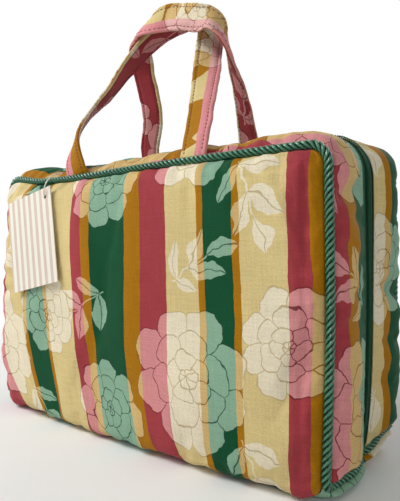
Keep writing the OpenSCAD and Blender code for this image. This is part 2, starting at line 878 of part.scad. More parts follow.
// How far its start lies to the right of the hole, and its bow stands out from the tag
filament_shift = 6;
filament_bow = 4;
filament_start = [filament_shift - tag_x, -seam_y, seam_top + cord_r + filament_d / 2];
filament_end = [
    -tag_x, tag_y + tag_t / 2, seam_top - tag_drop + tag_hole_r - filament_d / 2 - pin_gap,
];
filament_over = [filament_start[0], tag_y - filament_bow, filament_start[2]];
filament_front = [filament_end[0], tag_y - filament_bow, filament_end[2]];
function curve_point(t) =
    let (
        a = lerp(filament_start, filament_over, t),
        b = lerp(filament_over, filament_front, t),
        c = lerp(filament_front, filament_end, t)
    )
    lerp(lerp(a, b, t), lerp(b, c, t), t);
filament_route = [for (k = [0 : filament_steps]) curve_point(k / filament_steps)];

function route_ring(k) =
    let (
        along = unit(
            filament_route[min(filament_steps, k + 1)] - filament_route[max(0, k - 1)]),
        one = unit(cross(along, [0, 1, 0])),
        two = cross(along, one)
    )
    [
        for (i = [0 : filament_sides - 1])
            let (a = 360 * i / filament_sides)
            filament_route[k] + (one * cos(a) + two * sin(a)) * filament_d / 2
    ];

module tag_fastener() {
    n = filament_sides;
    points = [for (k = [0 : filament_steps]) each route_ring(k)];
    tube = [
        for (k = [0 : filament_steps - 1], i = [0 : n - 1])
            let (a = k * n + i, b = k * n + (i + 1) % n)
            each [[a, b + n, b], [a, a + n, b + n]]
    ];
    color("#f4f2ec")
        polyhedron(points, [
            each tube, run(0, 1, n), reversed(run(filament_steps * n, 1, n)),
        ]);
}

front_panel();
back_panel();
base_panel();
front_gusset();
back_gusset();
piping_cord();
lining();
zip_tape_front();
zip_tape_back();
zip_coil_front();
zip_coil_back();
zip_slider();
zip_pull();
front_handle();
back_handle();
hang_tag();
tag_fastener();
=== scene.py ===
# %% [markdown]
# A padded cosmetic bag of striped, flowered cotton. It is sewn from five padded
# pieces, piped with a twisted cord, zipped round three sides and carried by two
# straps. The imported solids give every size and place. This lesson dresses them with
# cloth, cord, thread, coil and card, each worked out as a surface from a formula.

import bmesh
import bpy
import numpy as np
from mathutils import Matrix, Vector


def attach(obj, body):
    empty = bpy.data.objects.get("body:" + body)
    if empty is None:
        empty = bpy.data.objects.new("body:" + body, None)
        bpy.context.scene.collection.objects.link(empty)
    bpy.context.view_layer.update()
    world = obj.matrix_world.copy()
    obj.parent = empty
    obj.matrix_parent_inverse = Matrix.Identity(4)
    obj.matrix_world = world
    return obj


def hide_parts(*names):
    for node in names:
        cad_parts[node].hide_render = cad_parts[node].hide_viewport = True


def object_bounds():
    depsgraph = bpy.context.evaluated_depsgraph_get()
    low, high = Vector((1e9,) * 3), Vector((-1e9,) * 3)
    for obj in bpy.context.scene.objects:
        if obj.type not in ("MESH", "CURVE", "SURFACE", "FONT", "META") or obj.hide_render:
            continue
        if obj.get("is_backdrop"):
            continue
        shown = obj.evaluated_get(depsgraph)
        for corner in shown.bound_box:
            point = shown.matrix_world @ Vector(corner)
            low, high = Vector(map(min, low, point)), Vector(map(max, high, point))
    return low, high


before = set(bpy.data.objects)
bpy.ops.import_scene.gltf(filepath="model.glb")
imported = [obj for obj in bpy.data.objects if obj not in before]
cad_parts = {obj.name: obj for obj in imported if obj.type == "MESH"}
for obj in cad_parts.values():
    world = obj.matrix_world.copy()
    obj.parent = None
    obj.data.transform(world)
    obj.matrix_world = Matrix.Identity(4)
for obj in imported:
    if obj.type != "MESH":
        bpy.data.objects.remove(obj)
cad_low, cad_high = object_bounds()
print("CAD box, mm:", [round(1000 * v) for v in (*cad_low, *cad_high)])

# %% [markdown]
# The camera stands low and to the right of the bag, level with its middle, as a
# person sitting at the table would see it. It could be aimed with a Track To
# constraint, but a matrix built from yaw, pitch and roll keeps the verticals upright
# in the same way as the picture that the bag was drawn from.

# %% Camera
def standing_camera(name, place, yaw, pitch, roll, lens):
    """A camera at a place in metres. Its axes are the forward direction from yaw and
    pitch, the level right direction, and their cross product, turned by roll."""
    yaw, pitch, roll = np.radians([yaw, pitch, roll])
    ahead = np.array([-np.sin(yaw) * np.cos(pitch), np.cos(yaw) * np.cos(pitch), np.sin(pitch)])
    level = np.array([np.cos(yaw), np.sin(yaw), 0.0])
    down = np.cross(ahead, level)
    right = level * np.cos(roll) + down * np.sin(roll)
    up = level * np.sin(roll) - down * np.cos(roll)
    data = bpy.data.cameras.new(name)
    data.lens, data.sensor_width, data.clip_start = lens, 36.0, 0.01
    camera = bpy.data.objects.new(name, data)
    bpy.context.scene.collection.objects.link(camera)
    axes = np.eye(4)
    axes[:3] = np.stack([right, up, -ahead, place], 1)
    camera.matrix_world = Matrix(axes.tolist())
    return camera


camera = standing_camera("table_camera", (0.2768, -0.3323, 0.146), yaw=37.48, pitch=0.04,
                         roll=-0.38, lens=36.04)
bpy.context.scene.camera = camera
print("camera at", [round(v, 3) for v in camera.matrix_world.translation])

# %% [markdown]
# Every sewn piece starts from the seam lines, where the middle of the piping cord
# runs. The numbers repeat the ones that the solids were drawn from, in millimetres,
# so a surface that follows them lies where its solid lies. A few curves are used again
# and again: soft steps and bells, the plump edge of padding, and uneven ripples.

# %% Seam lines and soft edges
MM = 0.001
SEAM_X, SEAM_Y = 160.0, 60.0  # half the width and half the depth between seams
SEAM_LOW, SEAM_TOP = 9.0, 209.0
CORNER_R, TURN_R = 12.0, 6.0  # the top corners, and the turns under the base
CORD_R, CORD_SEAT = 2.9, 3.2  # the piping, and how far from its middle the cloth starts
MITRE_SEAT, PAD = 2.26, 5.0  # two depths at which the cloth tucks in behind the piping
MIRROR_X, MIRROR_Y = np.array([-1, 1, 1]), np.array([1, -1, 1])


def coords(*parts):
    """Points, or cloth coordinates, from their parts, each stretched to the common shape."""
    return np.stack(np.broadcast_arrays(*parts), -1)


def between(a, b, share):
    """A straight blend from a at share 0 to b at share 1."""
    return a + (b - a) * share


def ease(t):
    """Three t squared less two t cubed: flat at 0 and at 1."""
    t = np.clip(t, 0, 1)
    return t * t * (3 - 2 * t)


def bell(t):
    """One over e to the power of t squared: 1 in the middle, almost nothing past 2."""
    return np.exp(-(t**2))


def plump_edge(t, power=2.2):
    """The quarter of a superellipse: steep where padding leaves its seam, then level."""
    t = np.clip(t, 0, 1)
    return (1 - (1 - t) ** power) ** (1 / power)


def crowded(steps, share=0.6):
    """Shares from 0 to 1, drawn towards both ends by a blend with half a cosine wave."""
    t = np.linspace(0, 1, steps + 1)
    return between(t, (1 - np.cos(np.pi * t)) / 2, share)


seeded = np.random.default_rng(11)
WAVE_WAYS, WAVE_STARTS = seeded.normal(size=(24, 2)), seeded.uniform(0, 2 * np.pi, 24)


def ripple(a, b, step):
    """Uneven relief between about -1 and 1: a sum of two dozen sine waves that run in
    seeded directions, about a step from crest to crest."""
    phase = a[..., None] * WAVE_WAYS[:, 0] + b[..., None] * WAVE_WAYS[:, 1]
    waves = np.sin(phase * (2 * np.pi / step) + WAVE_STARTS)
    return waves.sum(-1) / np.sqrt(2 * len(WAVE_STARTS))


def near_seam(far, width=14.0):
    """How much a stitched seam puckers the cloth: none on it, most close by, then less."""
    far = np.clip(far, 0, None)
    return (1 - np.exp(-far / 3)) * np.exp(-far / width)


print("seam loop:", 2 * SEAM_X, "wide,", 2 * SEAM_Y, "deep,", SEAM_TOP - SEAM_LOW, "high")

# %% [markdown]
# A stuffed bag settles as it stands. Instead of working this into every formula, each
# piece is drawn on the plain seam lines and then bent by one function of place, so all
# pieces move together and stay joined.

# %% Settled shape
def settled(points, bow=2.0, sag=1.8, pinch=4.0, lift=7.0, left_peak=4.5, right_peak=5.0):
    """The bag bows out on its right side, by half a sine wave up its height. Its top sags
    a little left of the middle, by a bell curve along its length, and stands up at both
    ends. At the right foot it is pinched in where the zip ends, rounds out in front of
    that, and lifts behind it."""
    x, y, z = np.moveaxis(np.asarray(points, float), -1, 0)
    up = np.clip((z - SEAM_LOW) / (SEAM_TOP - SEAM_LOW), 0, 1)
    right, below_straps = ease((x - 40) / 120), 1 - ease((z - 225) / 60)
    foot = right * bell(z / 36)
    bow = bow * np.sin(np.pi * up) * right
    pinch = pinch * foot * (bell((y - 3) / 8) - 0.8 * bell((y + 26) / 17))
    lift = lift * foot * ease((y + 2) / 45)
    sag = sag * bell((x + 70) / 70) * ease((z - 150) / 60) * below_straps
    ends = left_peak * ease((-x - 110) / 45)
    ends = ends + right_peak * ease((x - 105) / 40) * ease((y + 26) / 26)
    peak = ends * ease((z - 175) / 35) * below_straps
    return coords(x + bow - pinch, y, z - sag + lift + peak)


def pushed(points, amount):
    """A grid moved along its own normals, which are the cross products of its steps
    across and along."""
    normal = np.cross(np.gradient(points, axis=1), np.gradient(points, axis=0))
    normal /= np.maximum(np.linalg.norm(normal, axis=-1, keepdims=True), 1e-9)
    return points + normal * amount[..., None]


top_right = settled((SEAM_X, 0, SEAM_TOP))
print("top right corner settles to", top_right.round(1))

# %% [markdown]
# A grid of points becomes a mesh by joining each point to its right and lower
# neighbours. The whole grid goes in at once as arrays, which is far quicker than one
# vertex at a time. A grid may close on itself, as a tube does. Each grid brings its
# own cloth coordinates, in metres, for the print and the weave to follow.

# %% Grids to meshes
def sheet_grid(points, cloth, wrap_rows=False, wrap_cols=False, turned=False):
    """One grid of a piece: points in mm and cloth coordinates in mm, which have one
    more row or column where the grid closes on itself."""
    return {"points": points, "cloth": cloth, "wrap": (wrap_rows, wrap_cols), "turned": turned}


def ended(grid):
    """A tube with a row more at the middle of its first and of its last ring, which
    shuts both ends once the points that meet there are welded."""
    points, cloth = grid["points"], grid["cloth"]
    first, last = (0 * points[:1] + points[i].mean(0) for i in (0, -1))
    return dict(grid, points=np.concatenate([first, points, last]),
                cloth=np.concatenate([cloth[:1], cloth, cloth[-1:]]))


def four_corners(index, turned):
    """The four corners of each face of a grid of numbers, one way round or the other."""
    quad = [index[:-1, :-1], index[:-1, 1:], index[1:, 1:], index[1:, :-1]]
    return np.stack(quad[::-1] if turned else quad, -1).reshape(-1, 4)


def welded(mesh):
    """Merges the points of a mesh that meet."""
    work = bmesh.new()
    work.from_mesh(mesh)
    bmesh.ops.remove_doubles(work, verts=work.verts, dist=0.001 * MM)
    work.to_mesh(mesh)
    work.free()


def mesh_piece(name, *grids, weld=False):
    """A piece from grids: four corners a face, row by row. Points that meet are welded
    where a piece has ended tubes."""
    places, corners, cloths, start = [], [], [], 0
    for g in grids:
        rows, cols = g["points"].shape[:2]
        index = np.arange(rows * cols).reshape(rows, cols) + start
        index = np.concatenate([index, index[:1]], 0) if g["wrap"][0] else index
        index = np.concatenate([index, index[:, :1]], 1) if g["wrap"][1] else index
        chart = four_corners(np.arange(index.size).reshape(index.shape), g["turned"])
        cloths.append(np.broadcast_to(g["cloth"], index.shape + (2,)).reshape(-1, 2)[chart])
        corners.append(four_corners(index, g["turned"]))
        places.append(g["points"].reshape(-1, 3))
        start += rows * cols
    places, corners = np.concatenate(places) * MM, np.concatenate(corners)
    cloths = np.concatenate(cloths) * MM
    mesh = bpy.data.meshes.new(name)
    mesh.vertices.add(len(places))
    mesh.vertices.foreach_set("co", places.astype(np.float32).ravel())
    mesh.loops.add(corners.size)
    mesh.loops.foreach_set("vertex_index", corners.astype(np.int32).ravel())
    mesh.polygons.add(len(corners))
    mesh.polygons.foreach_set("loop_start", np.arange(0, corners.size, 4, dtype=np.int32))
    mesh.polygons.foreach_set("use_smooth", np.ones(len(corners), bool))
    mesh.update(calc_edges=True)
    mesh.uv_layers.new(name="cloth").data.foreach_set("uv", cloths.astype(np.float32).ravel())
    if weld:
        welded(mesh)
    piece = bpy.data.objects.new(name, mesh)
    bpy.context.scene.collection.objects.link(piece)
    print(name, len(places), "points,", len(corners), "faces")
    return piece


def smoothed(piece, levels=1):
    """One subdivision, the same in the view and in the render."""
    soft = piece.modifiers.new("soft", "SUBSURF")
    soft.levels = soft.render_levels = levels


def place_on_bag(piece, node):
    """A piece that rides on the bag and stands for a solid, which is hidden."""
    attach(piece, "bag")
    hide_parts(node)
    return piece


print("points are drawn in mm and stored in metres, times", MM)

# %% [markdown]
# The front and the back are padded panels. On the real bag wadding pushes the cloth
# out past the piping, most of all low down, and the piping pulls it in all round. The
# panel is a grid whose rows round the top corners, run down the sides and turn under
# the base. Its swell is a plump edge all round times a broad dome. Two more rings of
# points tuck the cloth in behind the piping, so that no gap shows.

# %% Panel surface
PANEL_SWELL, EDGE_ROLL, FOOT_ROLL = 13.0, 20.0, 6.0


def panel_rows(corner_steps, side_steps, turn_steps):
    """The seam's rows from the top down: half width, depth, height, corner and turn angle."""
    over = corner_steps + 1
    corner = np.r_[np.linspace(0, 90, over), np.full(side_steps + turn_steps, 90.0)]
    turn = np.r_[np.zeros(over + side_steps), np.linspace(0, 45, turn_steps + 1)[1:]]
    corner, turn = np.radians(corner), np.radians(turn)
    down = np.r_[np.zeros(over), crowded(side_steps)[1:], np.ones(turn_steps)]
    height = between(SEAM_TOP - CORNER_R, SEAM_LOW + TURN_R, down) + CORNER_R * np.cos(corner)
    return (SEAM_X - CORNER_R * (1 - np.sin(corner)), TURN_R * (1 - np.cos(turn)) - SEAM_Y,
            height - TURN_R * np.sin(turn), corner, turn)


def padded_panel(columns=116, corner_steps=8, side_steps=74, turn_steps=4):
    """The swollen front, and which of its points are sewn. Swell is the product of the
    plump edges, blended with a dome that is fullest at the foot."""
    rows = panel_rows(corner_steps, side_steps, turn_steps)
    half, depth, height, corner, turn = (row[:, None] for row in rows)
    share = 2 * crowded(columns) - 1
    wide = half - CORD_SEAT * np.sin(corner)
    x, z = wide * share, height - CORD_SEAT * np.cos(corner) + 0 * share
    top, foot = SEAM_TOP - CORD_SEAT, z[-1, 0]
    above, sides = z - foot, plump_edge((wide - abs(x)) / EDGE_ROLL)
    rolled = sides * plump_edge((top - z) / EDGE_ROLL) * plump_edge(above / FOOT_ROLL)
    dome = (1 - share**2) * (1 - (above / (top - foot)) ** 2)
    swell = rolled * between(1, dome, 0.4)
    dip = (foot - 1.0) * sides * np.clip(1 - above / EDGE_ROLL, 0, 1) ** 2
    body = coords(x, depth - PANEL_SWELL * swell, z - dip)

    def tuck(d):
        return coords(half - d * np.sin(corner), depth + d * np.cos(turn),
                      height - d * np.cos(corner) + d * np.sin(turn))

    whole = np.concatenate([tuck(PAD) * MIRROR_X, tuck(MITRE_SEAT) * MIRROR_X, body,
                            tuck(MITRE_SEAT), tuck(PAD)], 1)
    for d, ends in ((MITRE_SEAT, np.array([3.6, 3.0])), (PAD, np.array([6.2, 5.6]))):
        row = coords(half[0] * share, d - SEAM_Y, SEAM_TOP - d)
        side = coords(half[0], ends - SEAM_Y, SEAM_TOP - ends)
        whole = np.concatenate([np.concatenate([side * MIRROR_X, row, side[::-1]])[None], whole])
    sewn = np.ones(whole.shape[:2], bool)
    sewn[3:-1, 3:-3] = False
    return whole, sewn


def panel_puckers(points, seam=2.6, foot=1.6, crease=1.3, dents=1.9):
    """Relief in mm: short waves along each seam that die away from it, a crease where the
    wadding ends beside the right seam, and broad dents."""
    x, z = points[..., 0], points[..., 2]
    side, top = SEAM_X - CORD_SEAT - abs(x), SEAM_TOP - CORD_SEAT - z
    relief = seam * near_seam(top) * ripple(x, top * 0.3, step=21)
    relief += seam * near_seam(side) * ripple(z, side * 0.3 + 70, step=24)
    relief += foot * near_seam(z) * ripple(x + 40, z * 0.3, step=19)
    wander = ripple(z, 0 * z, step=60)
    relief -= crease * bell((side - 9 - wander) / 2.6) * (x > 0) * ease(z / 30) * ease(top / 15)
    middle = ease(side / 30) * ease(top / 30) * ease(z / 20)
    return relief + dents * ripple(x, z * 0.45, step=85) * middle


def stripe_place(points, skew=0.094, lean=5.5):
    """Cloth coordinates of the front: the distance from its right seam and the height.
    The stripes were cut askew, so low down they drift to the right, more at the left."""
    across, z = SEAM_X - points[..., 0], points[..., 2]
    low, high = np.clip((100 - z) / 82, 0, 1.2), np.clip((z - 100) / 80, 0, 1.3)
    drift = skew * across * (1 - 0.6 * ease((across - 268) / 44)) * low**1.7
    return coords(across + drift - lean * np.clip(across / 50, 0.3, 1) * high, z)


panel_points, panel_sewn = padded_panel()
print("panel swells to y =", round(panel_points[..., 1].min(), 1), "mm")

# %% [markdown]
# Real cloth over wadding is never as even as a formula: it creases where the stitches
# hold it and rounds out where they do not. Cloth simulation gives that. The sewn
# points are pinned, the cloth is a little too large for its frame, and pressure blows
# it up for twenty frames. A cap on how far a point may move keeps the panel's size.

# %% Cloth that swells between its seams
def swollen(piece, sewn, pressure, slack, cap, frames=20):
    """Runs the cloth with its sewn points pinned, then moves each point the way the
    cloth went, by the cap times the hyperbolic tangent of its move over the cap."""
    mesh, scene = piece.data, bpy.context.scene
    start = np.empty(3 * len(mesh.vertices), np.float32)
    mesh.vertices.foreach_get("co", start)
    held = piece.vertex_groups.new(name="sewn")
    held.add(np.flatnonzero(sewn.ravel()).tolist(), 1.0, "REPLACE")
    cloth = piece.modifiers.new("cloth", "CLOTH")
    made = cloth.settings
    made.quality, made.mass, made.air_damping = 5, 0.3, 2.0
    made.tension_stiffness = made.compression_stiffness = 12
    made.shear_stiffness, made.bending_stiffness = 4, 0.4
    made.vertex_group_mass, made.shrink_min = "sewn", -slack
    made.use_pressure, made.uniform_pressure_force = True, pressure
    made.effector_weights.gravity = 0
    cloth.collision_settings.use_collision = False
    cloth.point_cache.frame_start, cloth.point_cache.frame_end = 1, frames
    for number in range(1, frames + 1):
        scene.frame_set(number)
    blown = np.empty_like(start)
    swelled = piece.evaluated_get(bpy.context.evaluated_depsgraph_get()).data
    swelled.vertices.foreach_get("co", blown)
    piece.modifiers.remove(cloth)
    scene.frame_set(1)
    move = (blown - start).reshape(-1, 3) / MM
    far = np.linalg.norm(move, axis=1, keepdims=True)
    move *= cap * np.tanh(far / cap) / np.maximum(far, 1e-6)
    mesh.vertices.foreach_set("co", start + (move * MM).astype(np.float32).ravel())
    mesh.update()
    print(piece.name, "moved by", round(float(far.max()), 1), "mm at most, capped at", cap)


def padded_piece(piece, node, fill, **cloth):
    """A padded piece: blown up by the cloth simulation where that is given, then smoothed
    and set on the bag."""
    if cloth:
        swollen(piece, **cloth)
    smoothed(piece)
    place_on_bag(piece, node)


print("cloth steps to run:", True)

# %% [markdown]
# The two panels are one surface, mirrored. The front's left end has slumped out over
# its piping, which a push in one direction gives. Their puckers differ, because the
# back takes them from the other end.

# %% Front and back panels
def slumped(points, amount=7.0, way=(-0.6, -0.75, 0)):
    """The front's left end leans out past its piping: a push to the left and forwards,
    full from a finger's width inside the seam and fading towards the middle and the top."""
    x, z = points[..., 0], points[..., 2]
    share = ease((-x - 85) / 60) * plump_edge((SEAM_X - CORD_SEAT + x) / 12)
    share = share * ease((z + 4) / 55) * (1 - 0.4 * ease((z - 80) / 130))
    share = share * plump_edge((SEAM_TOP - CORD_SEAT - z) / EDGE_ROLL)
    return points + amount * share[..., None] * np.array(way)


relief, stripes = panel_puckers(panel_points), stripe_place(panel_points)
front_points = settled(slumped(pushed(panel_points, -relief)))
back_points = settled(pushed(panel_points, -relief[:, ::-1]) * MIRROR_Y)
front_panel = mesh_piece("front_panel_cloth", sheet_grid(front_points, stripes, turned=True))
back_panel = mesh_piece("back_panel_cloth", sheet_grid(back_points, stripes[:, ::-1]))
for panel, node in ((front_panel, "front_panel"), (back_panel, "back_panel")):
    padded_piece(panel, node, 0.8, sewn=panel_sewn, pressure=1, slack=0.025, cap=3)

# %% [markdown]
# Two gusset strips run up one side, over the top and down the other, between the
# piping and the zip. The strip is a grid along those three sides. Across it, the
# outline grows from the piping's tight corners to the wider, higher line of the zip,
# and a plump edge swells it on both sides. Its lip rolls under at the zip.

# %% Gusset surface
ZIP_OUT, ZIP_RISE, ZIP_CORNER_R = 2.0, 12.0, 27.0  # the zip's line past the piping's
ZIP_LIP, ZIP_GAPE = 8.4, 3.2  # the lip's distance from the zip, and more at the corners
STRIP_SWELL, STRIP_ROLL, LIP_SHARE = 6.0, 17.0, 0.05  # the lip keeps a share of the swell
ROLLED_LIP = ((0.5, 0.7, 0.0), (0.5, 0.2, 0.3), (-0.2, 0.0, 1.0), (-1.8, 0.0, 1.2))


def zip_outline(share):
    """Half width, top and corner radius, from the piping's at 0 to the zip's at 1."""
    grown = np.sin(np.pi / 2 * share)
    return (SEAM_X + ZIP_OUT * grown, SEAM_TOP + ZIP_RISE * grown,
            between(CORNER_R, ZIP_CORNER_R, grown))


def run_along(points):
    """The length along a line of points, from the first one."""
    return np.r_[0, np.cumsum(np.linalg.norm(np.diff(points, axis=0), axis=1))]


def gusset_strip(across=20, turn_steps=5, side_steps=84, corner_steps=12, top_steps=116):
    """The front strip from the right foot over the top to the left foot. Each point is
    its station on the outline, pushed out by a plump edge from the piping, a long slope
    to the zip and a plump edge at the foot. The zip's lips gape at the upper corners."""
    upright = side_steps + 1
    turn = np.r_[np.linspace(90, 0, turn_steps + 1)[:-1], np.zeros(upright + corner_steps)]
    corner = np.r_[np.full(turn_steps + upright, 90.0), np.linspace(90, 0, corner_steps + 1)[1:]]
    climb = np.r_[np.zeros(turn_steps), crowded(side_steps), np.ones(corner_steps)][:, None]
    turn, corner = np.radians(turn)[:, None], np.radians(corner)[:, None]
    seam_z = between(SEAM_LOW + TURN_R, SEAM_TOP - CORNER_R, climb) - TURN_R * np.sin(turn)
    seam_y = TURN_R * (1 - np.cos(turn)) - SEAM_Y

    def station(y, out, share, seat):
        half, top, radius = zip_outline(share)
        foot = plump_edge((seam_z - SEAM_LOW) / STRIP_ROLL)
        reach = (radius + out) * np.sin(corner) - radius
        x = np.where(corner < np.pi / 2 - 1e-6, half + reach, between(SEAM_X, half, foot) + out)
        rise = between(SEAM_LOW + TURN_R, top - radius, climb) + (radius + out) * np.cos(corner)
        side = coords(x, y, np.where(turn > 0, seam_z + seat * np.sin(turn), rise))
        run = np.linspace(1, -1, top_steps + 1)[1:-1, None]
        level = coords(run * (half - radius), y[-1:], top + out[-1:])
        return np.concatenate([side, level, side[::-1] * MIRROR_X])

    share, at_seam, at_zip = crowded(across)[None], np.zeros((1, 1)), np.ones((1, 1))
    start = seam_y + CORD_SEAT * np.cos(turn)
    edge = -ZIP_LIP - ZIP_GAPE * ease((climb - 0.55) / 0.45) * np.sin(corner)
    y = between(start, edge, share)
    flat_z = station(y, 0 * y, share, CORD_SEAT)[: len(turn), :, 2]
    swell = plump_edge((y - start) / STRIP_ROLL) * between(LIP_SHARE, 1, ease((edge - y) / 30))
    swell = STRIP_SWELL * swell * plump_edge((flat_z - SEAM_LOW - CORD_SEAT) / STRIP_ROLL)
    body = station(y, swell, share, CORD_SEAT)
    tucks = [station(seam_y + d * np.cos(turn), 0 * turn - d, at_seam, d)
             for d in (PAD, MITRE_SEAT)]
    lips = [station(edge + step, swell[:, -1:] * keep - drop, at_zip, CORD_SEAT)
            for step, keep, drop in ROLLED_LIP]
    whole = np.concatenate([*tucks, body, *lips], 1)
    under = whole[[0, -1]] + np.array([[[-0.9, 0, -0.9]], [[0.9, 0, -0.9]]])
    whole = np.concatenate([under[:1], whole, under[1:]])
    sewn = np.ones(whole.shape[:2], bool)
    sewn[2:-2, 3:-5] = False
    u, v = run_along(whole[len(whole) // 2]), run_along(whole[:, across // 2])
    return whole, coords(u - u[2], v[:, None]), sewn


strip_points, strip_cloth, strip_sewn = gusset_strip()
strip_across = strip_cloth[0, -5, 0]
print("strip:", strip_points.shape, "cloth across", round(strip_across, 1), "mm")

# %% [markdown]
# The back strip is the front one mirrored, with folds of its own: it is slacker, and its
# deep crease lies at another height. The front strip's cloth was cut a little off the
# grain, so its stripes drift across it on the way round.

# %% Front and back gussets
def strip_puckers(folds, shift, crease_at, seam=2.2, lip=0.6, crease=4.5):
    """Relief in mm on a gusset: short waves along its two seams, broad folds across and
    one deep crease, a bell curve at its own distance along the strip."""
    u, along = strip_cloth[..., 0], strip_cloth[..., 1]
    v, to_zip = along + shift, strip_across - u
    relief = seam * near_seam(u) * ripple(v, u * 0.3, step=17)
    relief += lip * near_seam(to_zip, 9) * ripple(v + 90, u * 0.3, step=20)
    relief -= crease * bell((along - crease_at - 0.3 * u) / 7) * ease(u / 9) * ease(to_zip / 25)
    return relief + folds * ripple(v, u * 0.55, step=52) * ease(u / 18) * ease(to_zip / 26)


front_strip = settled(pushed(strip_points, strip_puckers(1.5, 0, 168)))
back_strip = settled(pushed(strip_points, strip_puckers(2.6, 300, 104)) * MIRROR_Y)
off_grain = coords(18 * ease((strip_cloth[..., 1] - 190) / 300), 0.0)
front_gusset = mesh_piece("front_gusset_cloth", sheet_grid(front_strip, strip_cloth + off_grain))
back_gusset = mesh_piece("back_gusset_cloth", sheet_grid(back_strip, strip_cloth, turned=True))
for gusset, node, slack in ((front_gusset, "front_gusset", 0.03),
                            (back_gusset, "back_gusset", 0.05)):
    padded_piece(gusset, node, 0.7, sewn=strip_sewn, pressure=0.5, slack=slack, cap=1.6)

# %% [markdown]
# The base is a padded panel that the weight of the bag presses flat. Its ends roll up
# to the piping, and its front and back edges meet the panels in a plain seam. Pressed
# flat, it has no folds for a simulation to find, so a formula is enough.

# %% Base
def base_surface(columns=116, turn_steps=3, flat_steps=40, roll=10.0):
    """Rows from the front seam to the back one. The height is the seam's, drawn down
    to the floor by a plump edge away from each end, and each end rolls out under its
    piping by a skewed sine wave."""
    turn = np.radians(np.linspace(45, 90, turn_steps + 1))
    front = coords(TURN_R * (1 - np.cos(turn)) - SEAM_Y, SEAM_LOW + TURN_R * (1 - np.sin(turn)))
    flat = np.linspace(TURN_R - SEAM_Y, SEAM_Y - TURN_R, flat_steps + 1)[1:-1]
    rows = np.concatenate([front, coords(flat, SEAM_LOW), front[::-1] * np.array([-1, 1])])
    half = SEAM_X - CORD_SEAT
    x, y, high = half * (2 * crowded(columns) - 1)[None], rows[:, :1], rows[:, 1:]
    floor = np.zeros_like(high)
    floor[[0, -1]] = 1.0
    end = (half - abs(x)) / EDGE_ROLL
    z = high - (high - floor) * plump_edge(end)
    roll = roll * np.sin(np.pi * np.clip(end, 0, 1) ** 0.4) * ease((SEAM_Y - abs(y)) / 9)
    tuck = coords(SEAM_X - MITRE_SEAT, y, high + MITRE_SEAT)
    whole = np.concatenate([tuck * MIRROR_X, coords(x + np.sign(x) * roll, y, z), tuck], 1)
    return whole, coords(whole[..., 1] + SEAM_Y, whole[..., 0] + SEAM_X)


base_points, base_chart = base_surface()
base = mesh_piece("base_cloth", sheet_grid(settled(base_points), base_chart, turned=True))
padded_piece(base, "base_panel", 0.6)

# %% [markdown]
# The piping is a soft four-strand cord, laid like a rope. A texture on a plain tube
# would look painted, so each strand is its own tube that winds round the seam line.
# The line runs round the front, under one end of the base, round the back and under
# the other end. The number of turns is whole, so the strands meet where they started.

# %% Piping cord
BAG_MIDDLE = np.array([0, 0, 110])
STRAND_ROUND = 8.5  # cloth coordinate once round a strand


def read_at(at, along, values):
    """Vectors read off a line at some lengths along it, straight between its points."""
    return np.stack([np.interp(at, along, values[:, i]) for i in range(3)], -1)


def seam_loop(step):
    """Points a step apart along the whole loop: straight runs, the rounded top corners
    and the tight turns under the base, joined and then spaced evenly by length."""
    a = np.linspace(0, np.pi / 2, 24)
    cx, cz, ty, tz = SEAM_X - CORNER_R, SEAM_TOP - CORNER_R, SEAM_Y - TURN_R, SEAM_LOW + TURN_R
    corner = coords(cx + CORNER_R * np.sin(a), -SEAM_Y, cz + CORNER_R * np.cos(a))
    under = coords(SEAM_X, -ty - TURN_R * np.cos(a), tz - TURN_R * np.sin(a))
    right = np.concatenate([corner, under])
    half = np.concatenate([right, right[::-1] * MIRROR_Y])
    loop = np.concatenate([half, half[::-1] * MIRROR_X, half[:1]])
    along = run_along(loop)
    at = np.linspace(0, along[-1], int(along[-1] / step) + 1)[:-1]
    return read_at(at, along, loop), at, along[-1]


def unit(v):
    """Each vector over its own length."""
    return v / np.linalg.norm(v, axis=-1, keepdims=True)


def tube_rings(centre, first, second, radius, sides):
    """Rings round a line: the centre plus the radius times a circle in two directions."""
    a = np.arange(sides) * 2 * np.pi / sides
    circle = first[:, None] * np.cos(a)[:, None] + second[:, None] * np.sin(a)[:, None]
    return centre[:, None] + radius * circle


def laid_cord(lay=16.0, strands=4, sides=8, step=1.15, full=0.98):
    """Strands that wind round the loop at their own radius, one turn to each lay. Four
    circles that touch inside one of radius r have radius r over one plus root two."""
    line, at, length = seam_loop(step)
    line = settled(line)
    ahead = unit(np.roll(line, -1, 0) - np.roll(line, 1, 0))
    out = line - BAG_MIDDLE
    out = unit(out - ahead * (out * ahead).sum(-1, keepdims=True))
    beside = np.cross(ahead, out)
    thick = full * CORD_R / (1 + np.sqrt(2))
    chart = coords(np.r_[at, length][:, None], np.linspace(0, STRAND_ROUND, sides + 1))
    grids = []
    for k in range(strands):
        angle = 2 * np.pi * (round(length / lay) * at / length + k / strands)
        away = out * np.cos(angle)[:, None] + beside * np.sin(angle)[:, None]
        centre = line + (CORD_R - thick) * away
        along = unit(np.roll(centre, -1, 0) - np.roll(centre, 1, 0))
        side = unit(np.cross(along, away))
        rings = tube_rings(centre, np.cross(side, along), side, thick, sides)
        grids.append(sheet_grid(rings, chart, wrap_rows=True, wrap_cols=True))
    return grids, length


cord_grids, cord_length = laid_cord()
piping = place_on_bag(mesh_piece("piping_strands", *cord_grids), "piping_cord")
print("piping loop:", round(cord_length), "mm")

# %% [markdown]
# The zip is two woven tapes, each with a nylon coil sewn along its edge, and a dark band
# behind them that is painted shade between the coils. The coil is a wire wound like a
# flattened spring. Modelling every turn costs few faces when the wire has five sides, and
# it catches the light as real teeth do.

# %% Zip tapes and coils
ZIP_X, ZIP_TOP, ZIP_LOW = SEAM_X + ZIP_OUT, SEAM_TOP + ZIP_RISE, SEAM_LOW + CORD_SEAT
BACKWARDS = np.array([0, 1.0, 0])
